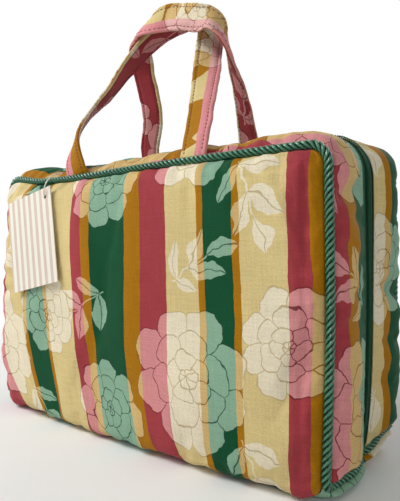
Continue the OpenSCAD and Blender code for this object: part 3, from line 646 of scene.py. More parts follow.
# Corners of a tape and of the dark painted-shade band, across and out, and the cloth coordinate at
# each
TAPE = np.array([[0.62, -1.3], [3.5, -1.3], [13.0, -1.35], [13.0, -2.1], [3.5, -2.2], [0.62, -2.2]])
TAPE_ROUND = np.array([0, 3, 8.4, 9.2, 14.7, 17.6, 18.5])
SHADE_BAND = np.array([[-8.0, -4.5], [8.0, -4.5], [8.0, -4.9], [-8.0, -4.9]])
SHADE_BAND_ROUND = np.array([0, 16, 16.4, 32.4, 32.8])
COIL_AWAY, COIL_HALF_W, COIL_HALF_H = 2.0, 1.03, 0.93


def zip_path(step):
    """Points up the right side, over the top and down the left, with the outward
    direction at each, spaced evenly by length."""
    a = np.linspace(0, np.pi / 2, 40)
    cx, cz = ZIP_X - ZIP_CORNER_R, ZIP_TOP - ZIP_CORNER_R
    side = coords(ZIP_X, 0.0, np.linspace(ZIP_LOW, cz, 60)[:-1])
    bend = coords(cx + ZIP_CORNER_R * np.cos(a), 0.0, cz + ZIP_CORNER_R * np.sin(a))
    right = np.concatenate([side, bend])
    path = settled(np.concatenate([right, right[::-1] * MIRROR_X]))
    along = run_along(path)
    at = np.linspace(0, along[-1], int(along[-1] / step) + 1)
    points = read_at(at, along, path)
    return points, np.cross(BACKWARDS, unit(np.gradient(points, axis=0))), at


def zip_band(profile, around, across, turned=False):
    """A flat band: a thin profile carried along the zip's path. A tape's outer edge lies
    under the gusset's lip. The dark band behind the coils is painted shade: a sheet that
    shuts out the light between them."""
    points, out, at = zip_path(3.0)
    rings = points[:, None] + profile[:, :1] * across + profile[:, 1:] * out[:, None]
    return ended(sheet_grid(rings, coords(at[:, None], around), wrap_cols=True, turned=turned))


def zip_coil(side, pitch=1.5, turn_points=10, sides=5, wire=0.36):
    """A wire wound round the coil's middle line on an ellipse, one turn to each pitch."""
    points, out, at = zip_path(pitch / turn_points)
    angle = (2 * np.pi * at / pitch + (np.pi if side > 0 else 0))[:, None]
    across = side * BACKWARDS
    middle = points + COIL_AWAY * across
    centre = middle + COIL_HALF_W * np.cos(angle) * across + COIL_HALF_H * np.sin(angle) * out
    along = unit(np.gradient(centre, axis=0))
    first = unit(np.cross(along, unit(centre - middle)))
    rings = tube_rings(centre, first, np.cross(along, first), wire, sides)
    chart = coords(at[:, None], np.arange(sides + 1) / sides)
    return ended(sheet_grid(rings, chart, wrap_cols=True))


zip_pieces = []
for side, name in ((-1, "front"), (1, "back")):
    bands = [zip_band(TAPE, TAPE_ROUND, side * BACKWARDS, turned=side < 0)]
    if name == "back":
        # A dark sheet behind the coils, put in as painted shade between them.
        bands.append(zip_band(SHADE_BAND, SHADE_BAND_ROUND, BACKWARDS))
    tape = mesh_piece(f"zip_tape_{name}_woven", *bands, weld=True)
    zip_pieces.append(place_on_bag(tape, f"zip_tape_{name}"))
    coil = mesh_piece(f"zip_coil_{name}_wound", zip_coil(side), weld=True)
    zip_pieces.append(place_on_bag(coil, f"zip_coil_{name}"))
print("zip:", round(run_along(zip_path(3.0)[0])[-1]), "mm long")

# %% [markdown]
# Each handle is a folded strap, sewn into the seam behind the piping. The two straps
# fall against each other: each twists on its way up, and the top of the back one comes
# forward over the front one. One arch with one lean cannot do that, so each strap has
# a row of knots. A knot is a place on the strap's middle line, and the way that its
# outer face looks there.

# %% Strap knots
FRONT_STRAP = np.array([
    (-65.0, -59.3, 212.0, 0.00, -0.98, 0.20),
    (-69.9, -58.0, 224.4, -0.12, -0.99, 0.06),
    (-73.4, -53.0, 239.9, -0.54, -0.82, 0.19),
    (-73.4, -45.0, 257.5, -0.53, -0.68, 0.51),
    (-57.3, -31.0, 283.0, -0.63, -0.40, 0.67),
    (-52.8, -19.0, 302.3, -0.72, -0.23, 0.66),
    (-45.1, -8.0, 320.4, -0.75, -0.10, 0.66),
    (-33.5, 1.0, 335.9, -0.68, -0.01, 0.73),
    (-15.0, 7.0, 344.7, -0.42, 0.10, 0.90),
    (6.1, 9.0, 345.6, -0.09, 0.20, 0.98),
    (23.2, 6.0, 339.0, 0.88, 0.11, 0.47),
    (31.8, -1.0, 324.8, 0.84, -0.46, -0.27),
    (36.7, -9.0, 307.3, 0.63, -0.68, -0.37),
    (44.2, -22.0, 284.6, 0.44, -0.84, -0.33),
    (56.2, -46.0, 241.5, 0.12, -0.97, -0.22),
    (61.0, -59.3, 212.0, 0.00, -0.98, 0.20),
])
BACK_STRAP = np.array([
    (-78.0, 59.3, 212.0, 0.00, 0.98, 0.20),
    (-80.0, 47.0, 249.8, -0.09, 0.96, 0.25),
    (-68.8, 39.0, 274.1, -0.18, 0.93, 0.31),
    (-65.8, 27.0, 307.3, -0.28, 0.88, 0.38),
    (-64.8, 20.0, 323.1, -0.38, 0.83, 0.42),
    (-61.2, 12.6, 337.8, -0.68, 0.29, 0.67),
    (-40.1, -5.5, 342.6, -0.39, -0.59, 0.71),
    (-10.4, -23.2, 336.9, 0.24, -0.93, 0.28),
    (1.8, -21.0, 338.0, 0.54, -0.84, -0.02),
    (18.0, -21.0, 334.6, 0.63, -0.77, -0.09),
    (34.2, -20.0, 329.8, 0.68, -0.72, -0.13),
    (48.2, -18.0, 323.9, 0.94, -0.35, 0.01),
    (53.3, -12.0, 313.4, 0.94, 0.29, 0.14),
    (50.6, -1.0, 305.3, 0.76, 0.62, 0.20),
    (46.5, 12.0, 296.6, 0.61, 0.76, 0.21),
    (44.3, 22.0, 287.4, 0.52, 0.82, 0.24),
    (39.1, 42.0, 261.5, 0.31, 0.91, 0.26),
    (37.4, 50.0, 245.5, 0.19, 0.95, 0.26),
    (40.0, 59.3, 212.0, 0.00, 0.98, 0.20),
])
print("knots:", len(FRONT_STRAP), "on the front strap,", len(BACK_STRAP), "on the back strap")

# %% [markdown]
# A smooth curve has to pass through every knot without a kink. A curve object could do
# it, but a natural cubic spline in numpy also carries the face directions, and gives the
# same line to the cloth and to its stitches.

# %% Strap lines
def spline(knots, values, at):
    """A natural cubic spline: a cubic from each knot to the next. The second slopes at
    the knots solve one set of equations, so that slopes agree where two cubics meet."""
    gap, inner = np.diff(knots), np.arange(1, len(knots) - 1)
    grid, bend = np.eye(len(knots)), np.zeros_like(values)
    grid[inner, inner - 1], grid[inner, inner + 1] = gap[:-1], gap[1:]
    grid[inner, inner] = 2 * (gap[:-1] + gap[1:])
    bend[1:-1] = 6 * np.diff(np.diff(values, axis=0) / gap[:, None], axis=0)
    bend = np.linalg.solve(grid, bend)
    k = np.clip(np.searchsorted(knots, at, side="right") - 1, 0, len(gap) - 1)
    wide, after = gap[k][:, None], (at - knots[k])[:, None]
    before = wide - after
    straight = (before * values[k] + after * values[k + 1]) / wide
    curved = (before**3 / wide - wide * before) * bend[k]
    curved = curved + (after**3 / wide - wide * after) * bend[k + 1]
    return straight + curved / 6


def twice_ended(v):
    """Rows with the first and the last one repeated twice."""
    return np.concatenate([v[:1], v[:1], v, v[-1:], v[-1:]])


def strap_lines(strap, steps=150, root=7.0, tuck=3.6):
    """Even steps along a spline through the strap's knots, with the directions along it,
    across it and out of its face. A root at each end goes down behind the piping."""
    knots = run_along(strap[:, :3])
    fine = np.linspace(0, knots[-1], 8 * steps)
    run = run_along(spline(knots, strap[:, :3], fine))
    at = np.interp(np.linspace(0, run[-1], steps + 1), run, fine)
    place, face = spline(knots, strap[:, :3], at), spline(knots, strap[:, 3:], at)
    along = unit(np.gradient(place, axis=0))
    face = unit(face - (face * along).sum(-1, keepdims=True) * along)
    share = np.array([1.0, 0.5])[:, None]
    inwards = -tuck * np.sign(place[0, 1]) * BACKWARDS
    first = place[:1] - share * root * along[:1] + ease(share) * inwards
    last = place[-1:] + share[::-1] * root * along[-1:] + ease(share[::-1]) * inwards
    ways = (twice_ended(v) for v in (along, np.cross(along, face), face))
    return np.concatenate([first, place, last]), *ways


strap_runs = [run_along(strap_lines(strap)[0])[-1] for strap in (FRONT_STRAP, BACK_STRAP)]
print("straps:", [round(run) for run in strap_runs], "mm long")

# %% [markdown]
# The strap itself is a flat rounded profile carried along its line. The folded cloth is
# never quite even, so ripples vary its width and its thickness a little.

# %% Handle straps
STRAP_W, STRAP_T, HEM = 22.0, 4.0, 3.2
FACE_MIDDLE, BACK_MIDDLE = 11.0, 51.0  # cloth coordinate in the middle of each side


def strap_profile(count=48):
    """Half width and half thickness round a flat superellipse, a little fuller between
    the rows of stitches, which pull the cloth in a hem's width from each edge."""
    a = np.arange(count) * 2 * np.pi / count
    w = np.sign(np.cos(a)) * abs(np.cos(a)) ** 0.55 * STRAP_W / 2
    t = np.sign(np.sin(a)) * abs(np.sin(a)) ** 0.5 * STRAP_T / 2
    groove = 0.45 * bell((abs(w) - STRAP_W / 2 + HEM) / 0.9)
    return w, t * (1 - groove)


def strap_grid(strap, side):
    """The profile carried along the strap's line. Its cloth runs once round the strap,
    the same way on both straps as seen from the zip."""
    place, _, across, face = strap_lines(strap)
    w, t = strap_profile()
    run = run_along(place)[:, None]
    around = np.where(t >= 0, FACE_MIDDLE, BACK_MIDDLE) + side * w
    wide = w * (1 + 0.035 * ripple(run + 0 * w, 30 * np.sign(w) + 0 * run, step=17))
    thick = t * (1 + 0.16 * ripple(run + 0 * w, around + 0 * run, step=21))
    rings = place[:, None] + wide[..., None] * across[:, None] + thick[..., None] * face[:, None]
    chart = coords(np.r_[around, around[:1]], run)
    return ended(sheet_grid(rings, chart, wrap_cols=True, turned=True))


handles = []
for strap, side, node in ((FRONT_STRAP, 1, "front_handle"), (BACK_STRAP, -1, "back_handle")):
    handle = mesh_piece(f"{node}_strap", strap_grid(strap, side), weld=True)
    handles.append(place_on_bag(handle, node))

# %% [markdown]
# Two rows of machine stitches hold each strap's folded edges. A stitch is a short
# rounded grain of thread. One grain is worked out once, and arrays set a copy at every
# stitch on both faces.

# %% Strap stitches
def stitch_grains(strap, pitch=3.4, length=2.3, radius=0.34, rings=5, sides=6, clear=8.0):
    """Grains along both edges of both faces: an ellipse round the thread, tapered to
    its ends by half a sine wave."""
    lines = strap_lines(strap, steps=600)
    run = run_along(lines[0])
    at = np.arange(clear, run[-1] - clear, pitch)
    place, along, across, face = (read_at(at, run, values) for values in lines)
    t, a = np.linspace(0, 1, rings)[:, None], np.arange(sides) * 2 * np.pi / sides
    thick = radius * (0.15 + 0.85 * np.sin(np.pi * t))
    grain = coords((t - 0.5) * length, thick * np.cos(a), thick * np.sin(a))
    laid = np.einsum("abk,nkj->nabj", grain, np.stack([along, across, face], 1))
    blank, grids = np.zeros((rings, sides + 1, 2)), []
    for edge in (-1, 1):
        for front in (-1, 1):
            centre = place + edge * (STRAP_W / 2 - HEM) * across + front * STRAP_T * 0.37 * face
            grids += [ended(sheet_grid(points, blank, wrap_cols=True, turned=True))
                      for points in centre[:, None, None] + laid]
    return grids


stitches = []
for strap, node in ((FRONT_STRAP, "front_handle"), (BACK_STRAP, "back_handle")):
    row = mesh_piece(f"{node}_stitches", *stitch_grains(strap), weld=True)
    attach(row, "bag")
    stitches.append(row)

# %% [markdown]
# A card tag hangs from the piping on a nylon filament. The card is stiff and flat, so
# its imported solid is shown as it is, hole and all. The filament is a cord of one
# smooth curve, from the top of the piping to the upper edge of the hole.

# %% Hang tag and filament
FILAMENT_R = 0.5


def filament_curve(points=30):
    """A cubic curve: out over the piping, then down in front of the tag to its hole."""
    t = np.linspace(0, 1, points)[:, None]
    ends = np.array([[-82, -60, 212.4], [-82, -78.1, 212.4], [-88, -78.1, 192.02],
                     [-88, -73.7, 192.02]])
    return ((1 - t) ** 3 * ends[0] + 3 * (1 - t) ** 2 * t * ends[1]
            + 3 * (1 - t) * t**2 * ends[2] + t**3 * ends[3])


def filament_tube(line, sides=10):
    """A round tube carried along the curve, shut at both ends."""
    ahead = unit(np.gradient(line, axis=0))
    first = unit(np.cross(ahead, np.array([1.0, 0, 0])))
    rings = tube_rings(line, first, np.cross(ahead, first), FILAMENT_R, sides)
    return ended(sheet_grid(rings, np.zeros((len(line), sides + 1, 2)), wrap_cols=True))


tag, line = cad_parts["hang_tag"], filament_curve()
filament = mesh_piece("tag_filament", filament_tube(line), weld=True)
place_on_bag(filament, "tag_fastener")
line[0] * MM
line * MM

# %% [markdown]
# The cotton carries stripes with large flowers printed over them. Each flower is a
# paler tint of whichever stripe it crosses, with thin dark outlines. The print is drawn
# with math nodes on the cloth coordinates, so it stays crisp at any distance and needs
# no picture. Written out, such nodes are long. Here an output is wrapped, so that a
# plus or a times between two outputs adds the node that does it.

# %% Node helper
class Wire:
    """An output that can be reckoned with: each sign adds a math node to the tree. A bar
    between two outputs takes the larger one."""

    def __init__(self, wiring, socket):
        self.wiring, self.socket = wiring, socket

    def do(self, operation, *others):
        return self.wiring.math(operation, self, *others)

    def __abs__(self):
        return self.do("ABSOLUTE")

    def __add__(self, other):
        return self.do("ADD", other)

    def __sub__(self, other):
        return self.do("SUBTRACT", other)

    def __rsub__(self, other):
        return self.wiring.math("SUBTRACT", other, self)

    def __mul__(self, other):
        return self.do("MULTIPLY", other)

    def __truediv__(self, other):
        return self.do("DIVIDE", other)

    def __rtruediv__(self, other):
        return self.wiring.math("DIVIDE", other, self)

    def __lt__(self, other):
        return self.do("LESS_THAN", other)

    def __gt__(self, other):
        return self.do("GREATER_THAN", other)

    def __or__(self, other):
        return self.do("MAXIMUM", other)


class Wiring:
    """Adds nodes to a tree. Each call makes one node and returns what it gives out."""

    def __init__(self, tree):
        self.tree = tree

    def fill(self, node, inputs):
        for key, value in inputs.items():
            if isinstance(value, Wire):
                self.tree.links.new(value.socket, node.inputs[key])
            else:
                node.inputs[key].default_value = value

    def add(self, kind, inputs=(), **settings):
        node = self.tree.nodes.new(kind)
        for key, value in settings.items():
            setattr(node, key, value)
        self.fill(node, dict(inputs))
        return node

    def out(self, kind, inputs=(), key=0, **settings):
        return Wire(self, self.add(kind, inputs, **settings).outputs[key])

    def math(self, operation, *values):
        return self.out("ShaderNodeMath", enumerate(values), operation=operation)

    def vector(self, operation, *values, key=0):
        return self.out("ShaderNodeVectorMath", enumerate(values), key, operation=operation)

    def scaled(self, a, size):
        return self.out("ShaderNodeVectorMath", {0: a, "Scale": size}, operation="SCALE")

    def parts(self, a):
        return [Wire(self, part) for part in self.add("ShaderNodeSeparateXYZ", {0: a}).outputs]

    def mix(self, share, a, b):
        return self.out("ShaderNodeMix", {0: share, 6: a, 7: b}, 2, data_type="RGBA")

    def ramp(self, share, stops, step="LINEAR"):
        node = self.add("ShaderNodeValToRGB", {0: share})
        node.color_ramp.interpolation = step
        marks = node.color_ramp.elements
        while len(marks) < len(stops):
            marks.new(0.5)
        for mark, (place, colour) in zip(marks, stops):
            mark.position, mark.color = place, (*colour, 1)
        return Wire(self, node.outputs[0])

    def noise(self, at, scale, detail=2.0, rough=0.5, key="Fac"):
        settings = {"Vector": at, "Scale": scale, "Detail": detail, "Roughness": rough}
        return self.out("ShaderNodeTexNoise", settings, key)

    def bump(self, height, strength, distance):
        settings = {"Strength": strength, "Distance": distance, "Height": height}
        return self.out("ShaderNodeBump", settings)

    def cloth_mm(self):
        return self.scaled(self.out("ShaderNodeUVMap", uv_map="cloth"), 1000)

    def place(self):
        return self.out("ShaderNodeTexCoord", key="Object")


def finish_material(name, build):
    """A new material. Build wires it and returns what goes into its shader's inputs."""
    material = bpy.data.materials.new(name)
    material.use_nodes = True
    wiring = Wiring(material.node_tree)
    wiring.fill(material.node_tree.nodes["Principled BSDF"], build(wiring))
    return material


def dress(piece, material):
    """Gives a piece its one material."""
    piece.data.materials.clear()
    piece.data.materials.append(material)


# %% [markdown]
# The flowers are plain rosettes of the lesson's own: four rings of round petals about
# an eye. A ring's edge is a circle pulled in between its petals. A line is drawn on
# each edge, and one between neighbouring petals. The leaf sprays are lens shapes on a
# stem, mirrored by the absolute value of the distance from it.

# %% Rosette and leaf spray
REPEAT = (226.0, 172.0, 1000.0)
ROSETTE_RINGS = ((0.13, 6, 0.4), (0.36, 5, 0.1), (0.66, 6, 0.8), (1.0, 8, 0.3))
SPRAY_LEAVES = ((0.56, 0, 0.44, 0.1), (0.34, 42, 0.44, 0.1), (0.06, 58, 0.4, 0.1))
EDGE_LINE, PETAL_LINE, LEAF_LINE = 0.42, 0.34, 0.38  # half widths in mm


def print_group(name, draw):
    """A node group with the cloth place, centre, size and turn as inputs, and the shape
    and its lines as outputs. The place wraps round at the print's repeat."""
    tree = bpy.data.node_groups.new(name, "ShaderNodeTree")
    inputs = {"Cloth": "Vector", "Centre": "Vector", "Size": "Float", "Turn": "Float"}
    for label, kind in inputs.items():
        tree.interface.new_socket(name=label, in_out="INPUT", socket_type=f"NodeSocket{kind}")
    for label in ("Shape", "Lines"):
        tree.interface.new_socket(name=label, in_out="OUTPUT", socket_type="NodeSocketFloat")
    w = Wiring(tree)
    given, result = w.add("NodeGroupInput"), w.add("NodeGroupOutput")
    cloth, centre, size, turn = (Wire(w, given.outputs[label]) for label in inputs)
    half = np.array(REPEAT) / 2
    away = w.vector("WRAP", w.vector("SUBTRACT", cloth, centre), half, -half)
    turned = w.out("ShaderNodeVectorRotate", {"Vector": away, "Angle": turn},
                   rotation_type="Z_AXIS")
    w.fill(result, dict(enumerate(draw(w, turned, size))))
    return tree


def draw_rosette(w, place, size):
    """Four rings of petals: radius, petals, turn. A petal's edge is the ring's radius
    less a share that grows towards the gap between two petals."""
    x, y, _ = w.parts(place)
    far, angle = (x * x + y * y).do("SQRT"), y.do("ARCTAN2", x)
    inside = lines = None
    for radius, petals, turn in ROSETTE_RINGS:
        wave = abs((angle * (petals / 2) + turn).do("COSINE"))
        gap = (wave.do("SQRT") * (0.22 * radius) + 0.78 * radius) * size - far
        within = gap > 0
        drawn = (abs(gap) < EDGE_LINE) | (far * wave * (2 / petals) < PETAL_LINE) * within
        lines = lines | drawn * (1 - inside) if lines else drawn
        inside = within
    return inside, lines


def draw_spray(w, place, size):
    """A tip leaf and two mirrored pairs: base along the stem, angle, length, width. A
    leaf is half a sine wave wide, and its vein is its middle line."""
    x, y, _ = w.parts(place)
    x, y = x / size, y / size
    y = abs(y - x * x * 0.12)
    line = LEAF_LINE / size
    shape = (y < line * 1.6) * (abs(x - 0.3) < 0.3)
    lines = None
    for base, angle, length, width in SPRAY_LEAVES:
        c, s = np.cos(np.radians(angle)), np.sin(np.radians(angle))
        from_base = x - base
        run, off = (from_base * c + y * s) / length, abs(y * c - from_base * s)
        leaf = (off < (run * np.pi).do("SINE") * width) * (run > 0) * (run < 1)
        vein = (off < line) * leaf
        lines = lines * (1 - leaf) | vein if lines else vein
        shape = shape | leaf
    return shape, lines


rosette, spray = print_group("rosette", draw_rosette), print_group("leaf_spray", draw_spray)
print("print groups:", len(rosette.nodes), "and", len(spray.nodes), "nodes")

# %% [markdown]
# One cotton is cut into every piece, so one function makes all its materials. It takes
# the stripes of that piece and where the flowers fall on it. Each stripe has its own
# colour, its paler tint under a flower and the colour of the lines. The weave and the
# slubs of the yarn are bumps, and a slow noise fades the dye unevenly.

# %% Printed cotton
STRIPE = {  # colour, tint under a flower, line
    "rose": ((0.36, 0.048, 0.058), (0.68, 0.28, 0.28), (0.16, 0.012, 0.022)),
    "pink": ((0.70, 0.27, 0.28), (0.78, 0.45, 0.42), (0.26, 0.04, 0.05)),
    "green": ((0.004, 0.070, 0.026), (0.26, 0.44, 0.31), (0.006, 0.045, 0.022)),
    "gold": ((0.39, 0.165, 0.003), (0.66, 0.46, 0.19), (0.24, 0.095, 0.006)),
    "cream": ((0.68, 0.54, 0.245), (0.80, 0.72, 0.54), (0.50, 0.39, 0.20)),
}
FLOWERS = (  # group, centre across and up in mm, size, turn
    (spray, (52, 30), 62, 2.0), (spray, (176, 112), 66, 0.5), (spray, (104, 128), 58, 3.7),
    (rosette, (20, 92), 33, 0.3), (rosette, (92, 62), 47, 1.1), (rosette, (176, 28), 38, 2.2),
)
STRIPE_REACH, YARN, PATCH_FOOT = 330.0, 0.9, 58  # mm
DRIFTS = ((0.028, 16), (0.09, 7))  # scale of a noise that bends the drawing, and by how much


def flower_print(w, cloth):
    """The shape and the lines of all the flowers. Each hides the lines of those before it."""
    shape = lines = None
    for group, centre, size, turn in FLOWERS:
        settings = {"Cloth": cloth, "Centre": (*centre, 0), "Size": size, "Turn": turn}
        node = w.add("ShaderNodeGroup", settings, node_tree=group)
        flower, drawn = (Wire(w, socket) for socket in node.outputs)
        lines = lines * (1 - flower) | drawn if lines else drawn
        shape = shape | flower if shape else flower
    return shape, lines


def printed_cotton(name, stripes, patches=None, shift=(0, 0)):
    """Stripes are (start in mm, colour name) from the cloth's first coordinate. Patches
    are a second row of stripes that takes over in places along the cloth."""
    def build(w):
        cloth = w.cloth_mm()
        u, v, _ = w.parts(cloth)
        drawn = cloth
        for scale, amount in DRIFTS:
            bend = w.vector("SUBTRACT", w.noise(cloth, scale, key="Color"), (0.5, 0.5, 0.5))
            drawn = w.vector("ADD", drawn, w.scaled(bend, amount))
        shape, lines = flower_print(w, w.vector("ADD", drawn, (*shift, 0)))
        across = (u + (w.noise(cloth, 0.06, 3) - 0.5) * 2.2) / STRIPE_REACH

        def dyes(row):
            return [w.ramp(across, [(start / STRIPE_REACH, STRIPE[c][i]) for start, c in row],
                           "CONSTANT") for i in range(3)]

        ground, tint, ink = dyes(stripes)
        if patches:
            speckle = w.noise(w.vector("MULTIPLY", cloth, (0.5, 1, 1)), 0.028)
            chosen = (speckle > 0.53) | (v < PATCH_FOOT)
            pairs = zip((ground, tint, ink), dyes(patches))
            ground, tint, ink = (w.mix(chosen, a, b) for a, b in pairs)
        colour = w.mix(lines * 0.85, w.mix(shape * 0.94, ground, tint), ink)
        warp, weft = (w.noise(w.vector("MULTIPLY", cloth, pull), 1.0, 3)
                      for pull in ((0.05, 0.9, 1), (0.9, 0.05, 1)))
        slub, nub = warp + weft, w.noise(cloth, 0.95, 2, 0.6)
        value = slub * 0.26 + w.noise(cloth, 0.011, 4, 0.6) * 0.4 + nub * 0.42 + 0.28
        over, under = ((way * (2 * np.pi / YARN)).do("SINE") for way in (u, v))
        height = over * under * 0.25 + nub * 1.6 + slub
        return {
            "Base Color": w.out("ShaderNodeHueSaturation", {"Value": value, "Color": colour}),
            "Normal": w.bump(height, 0.45, 0.0003), "Roughness": 0.62,
            "Specular IOR Level": 0.05, "Sheen Weight": 0.05, "Sheen Roughness": 0.5,
        }
    return finish_material(name, build)


PANEL_STRIPES = [
    (0, "gold"), (7, "rose"), (20, "cream"), (49.5, "gold"), (54.5, "green"), (76.5, "gold"),
    (81.5, "cream"), (109.5, "rose"), (133, "gold"), (149, "green"), (187.5, "gold"),
    (196, "rose"), (210, "cream"), (244, "gold"), (248.5, "green"), (271.5, "gold"),
    (276.5, "cream"), (303, "rose"),
]
FRONT_GUSSET_STRIPES = [(0, "rose"), (13, "gold"), (30, "green")]
BACK_GUSSET_STRIPES = [(0, "green"), (33, "gold"), (40, "cream")]
BASE_STRIPES = [(0, "green"), (64, "gold"), (71, "cream"), (112, "green")]
STRAP_STRIPES = [(0, "pink"), (8, "cream"), (31, "rose"), (59, "cream")]
STRAP_PATCHES = [(0, "pink"), (8, "gold"), (31, "rose"), (59, "cream")]
for piece, name, stripes, shift in (
        (front_panel, "front_cotton", PANEL_STRIPES, (0, 0)),
        (back_panel, "back_cotton", PANEL_STRIPES, (70, 40)),
        (front_gusset, "front_gusset_cotton", FRONT_GUSSET_STRIPES, (60, 20)),
        (back_gusset, "back_gusset_cotton", BACK_GUSSET_STRIPES, (130, 70)),
        (base, "base_cotton", BASE_STRIPES, (75, 70))):
    dress(piece, printed_cotton(name, stripes, shift=shift))
strap_cotton = printed_cotton("strap_cotton", STRAP_STRIPES, STRAP_PATCHES, shift=(0, 12))
for handle in handles:
    dress(handle, strap_cotton)
print(len(bpy.data.materials), "materials so far")

# %% [markdown]
# The trims are plainer. The cord is satin yarn, with a painted highlight on the crown of
# each strand and painted shade where the strands meet. The zip is dark nylon, the slider
# worn brass, the card matt with pale stripes. Four of them are one dye or one plastic, a
# little uneven, and share a function.

# %% Trims
CARD_TURN, CARD_STRIPE = np.radians(12), 8.1
CARD_WHITE, CARD_INK = (0.80, 0.77, 0.67, 1), (0.57, 0.42, 0.34, 1)


def satin_yarn(w):
    """Fine threads wind along each strand. Its colour is painted light and shade: a painted
    highlight makes it palest on its crown, which faces out, and painted shade makes it
    nearly black where it meets its neighbours."""
    cloth = w.cloth_mm()
    along, around, _ = w.parts(cloth)
    turn = around * (2 * np.pi / STRAND_ROUND)
    thread = (along * 3.2 + turn * 7).do("SINE")
    # Painted highlight and shade: the cosine of the angle round the strand lightens its crown and
    # darkens the grooves between strands.
    share = turn.do("COSINE") * 0.66 + thread * 0.08 + w.noise(cloth, 0.25, 3) * 0.4 - 0.02
    colour = w.ramp(share, [(0.25, (0.001, 0.014, 0.007)), (0.55, (0.006, 0.06, 0.03)),
                            (0.75, (0.02, 0.14, 0.068)), (0.95, (0.12, 0.36, 0.21))])
    return {"Base Color": colour, "Normal": w.bump(thread, 0.4, 0.0002), "Roughness": 0.28,
            "Specular IOR Level": 0.45}


def zip_weave(w):
    """A close twill: slanting ribs across the tape."""
    along, across, _ = w.parts(w.cloth_mm())
    rib = (along * 7.0 + across * 5.0).do("SINE")
    colour = w.ramp(rib * 0.4 + 0.5, [(0.0, (0.002, 0.042, 0.017)), (1.0, (0.007, 0.090, 0.040))])
    return {"Base Color": colour, "Normal": w.bump(rib, 0.5, 0.0002), "Roughness": 0.8}


def worn_brass(w):
    """Plated brass, duller and darker in patches."""
    worn = w.noise(w.place(), 300, 4, 0.6)
    colour = w.ramp(worn, [(0.35, (0.30, 0.21, 0.09)), (0.6, (0.66, 0.53, 0.28))])
    return {"Base Color": colour, "Roughness": worn * 0.3 + 0.18, "Metallic": 1.0}


def striped_card(w):
    """Matt white card with soft stripes down its height. The card hangs askew, so the
    distance across it is the place along a slanting direction."""
    at = w.scaled(w.place(), 1000)
    slant = (np.cos(CARD_TURN), 0, np.sin(CARD_TURN))
    place = (w.vector("DOT_PRODUCT", at, slant, key="Value") / CARD_STRIPE).do("FRACT")
    fibre = w.noise(at, 0.7, 4)
    inked = (abs(place - 0.5) < 0.24) * (fibre * 0.5 + 0.5)
    return {"Base Color": w.mix(inked, CARD_WHITE, CARD_INK),
            "Normal": w.bump(fibre, 0.15, 0.0001), "Roughness": 0.62}


def mottled(name, scale, detail, dark, pale, **shader):
    """A material of one colour, from dark to pale by a noise at a scale per metre."""
    def build(w):
        share = w.noise(w.place(), scale, detail)
        return {"Base Color": w.ramp(share, [(0.3, dark), (0.7, pale)]), **shader}
    return finish_material(name, build)


nylon = mottled("zip_nylon", 400, 3, (0.002, 0.050, 0.021), (0.007, 0.095, 0.042),
                **{"Roughness": 0.55, "Specular IOR Level": 0.18})
milky = mottled("clear_nylon", 200, 2, (0.74, 0.74, 0.71), (0.86, 0.86, 0.84),
                **{"Roughness": 0.3, "Transmission Weight": 0.3})
thread = mottled("dark_thread", 900, 2, (0.10, 0.02, 0.025), (0.22, 0.05, 0.06), Roughness=0.7)
undyed = mottled("lining_cotton", 500, 4, (0.55, 0.48, 0.36), (0.70, 0.63, 0.50), Roughness=0.85)
woven, brass = finish_material("zip_weave", zip_weave), finish_material("worn_brass", worn_brass)
dress(piping, finish_material("satin_cord", satin_yarn))
for piece in zip_pieces:
    dress(piece, woven if "tape" in piece.name else nylon)
for node in ("zip_slider", "zip_pull"):
    dress(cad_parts[node], brass)
dress(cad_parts["lining"], undyed)
dress(tag, finish_material("striped_card", striped_card))
dress(filament, milky)
for row in stitches:
    dress(row, thread)
print(len(bpy.data.materials), "materials with the trims")

# %% [markdown]
# A pale floor, a bright sky and three broad lamps give soft studio light. Camera rays
# that miss the bag see white, and the floor fades to white away from it, so no horizon
# shows.

# %% Floor and light
SKY, SEEN_SKY = 0.24, 1.0
FADE_START, FADE_END = 0.22, 0.75  # metres from the bag's middle
WHITE = (1, 1, 1, 1)


def seen_rays(w):
    """One for rays from the camera, also by gloss and through clear things, else nothing."""
    rays = w.add("ShaderNodeLightPath").outputs
    camera, gloss, clear = (Wire(w, rays[f"Is {kind} Ray"])
                            for kind in ("Camera", "Glossy", "Transmission"))
    return camera | (gloss | clear)


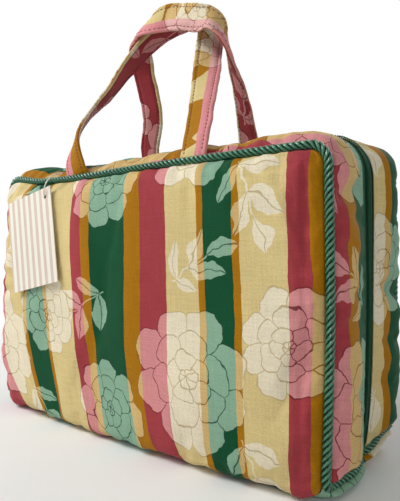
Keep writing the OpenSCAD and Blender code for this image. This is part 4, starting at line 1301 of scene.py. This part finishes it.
def fade_to_white(material):
    """Mixes a material's shader with a white glow that grows with the distance."""
    w, nodes = Wiring(material.node_tree), material.node_tree.nodes
    x, y, _ = w.parts(w.place())
    far = (x * x + y * y).do("SQRT")
    fade = w.out("ShaderNodeMapRange", {0: far, 1: FADE_START, 2: FADE_END, 3: 0.0, 4: 1.0},
                 interpolation_type="SMOOTHSTEP")
    glow = w.out("ShaderNodeEmission", {0: WHITE, 1: 1.0})
    matt = Wire(w, nodes["Principled BSDF"].outputs[0])
    both = w.out("ShaderNodeMixShader", {0: fade * seen_rays(w), 1: matt, 2: glow})
    w.fill(nodes["Material Output"], {0: both})
    return material


reach = np.linspace(-4000, 4000, 9)
ground = coords(reach[:, None], reach, 0.0)
under_bag = np.array([0, 0, 0.2])
floor = mesh_piece("floor", sheet_grid(ground - under_bag, ground[..., :2], turned=True))
pale = finish_material("pale_floor",
                       lambda w: {"Base Color": (0.86, 0.86, 0.85, 1), "Roughness": 0.9})
dress(floor, fade_to_white(pale))
floor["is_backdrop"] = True

world = bpy.data.worlds.new("studio")
bpy.context.scene.world = world
world.use_nodes = True
sky = Wiring(world.node_tree)
sky.fill(world.node_tree.nodes["Background"],
         {0: WHITE, 1: seen_rays(sky) * (SEEN_SKY - SKY) + SKY})


def soft_lamp(name, place, target, size, power):
    """A square area lamp that faces a target."""
    data = bpy.data.lights.new(name, "AREA")
    data.size, data.energy = size, power
    lamp = bpy.data.objects.new(name, data)
    lamp.location = place
    aim = Vector(target) - Vector(place)
    lamp.rotation_euler = aim.to_track_quat("-Z", "Y").to_euler()
    bpy.context.scene.collection.objects.link(lamp)


soft_lamp("key", (-0.80, -0.78, 1.05), (0, 0, 0.1), 0.6, 17.5)
soft_lamp("fill", (1.3, -1.0, 0.7), (0, 0, 0.1), 1.0, 5)
soft_lamp("back", (0.3, 1.3, 1.2), (0, 0, 0.15), 0.9, 6)
bpy.context.scene.view_settings.view_transform = "Standard"
print("lamps:", [light.name for light in bpy.data.lights])

# %% [markdown]
# The dressed bag has to stay the size of its solids. How far its box has grown past
# theirs is printed.

low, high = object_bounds()
grown = zip((*low, *high), (*cad_low, *cad_high))
print("grown by, mm:", [round(1000 * (a - b), 1) for a, b in grown])
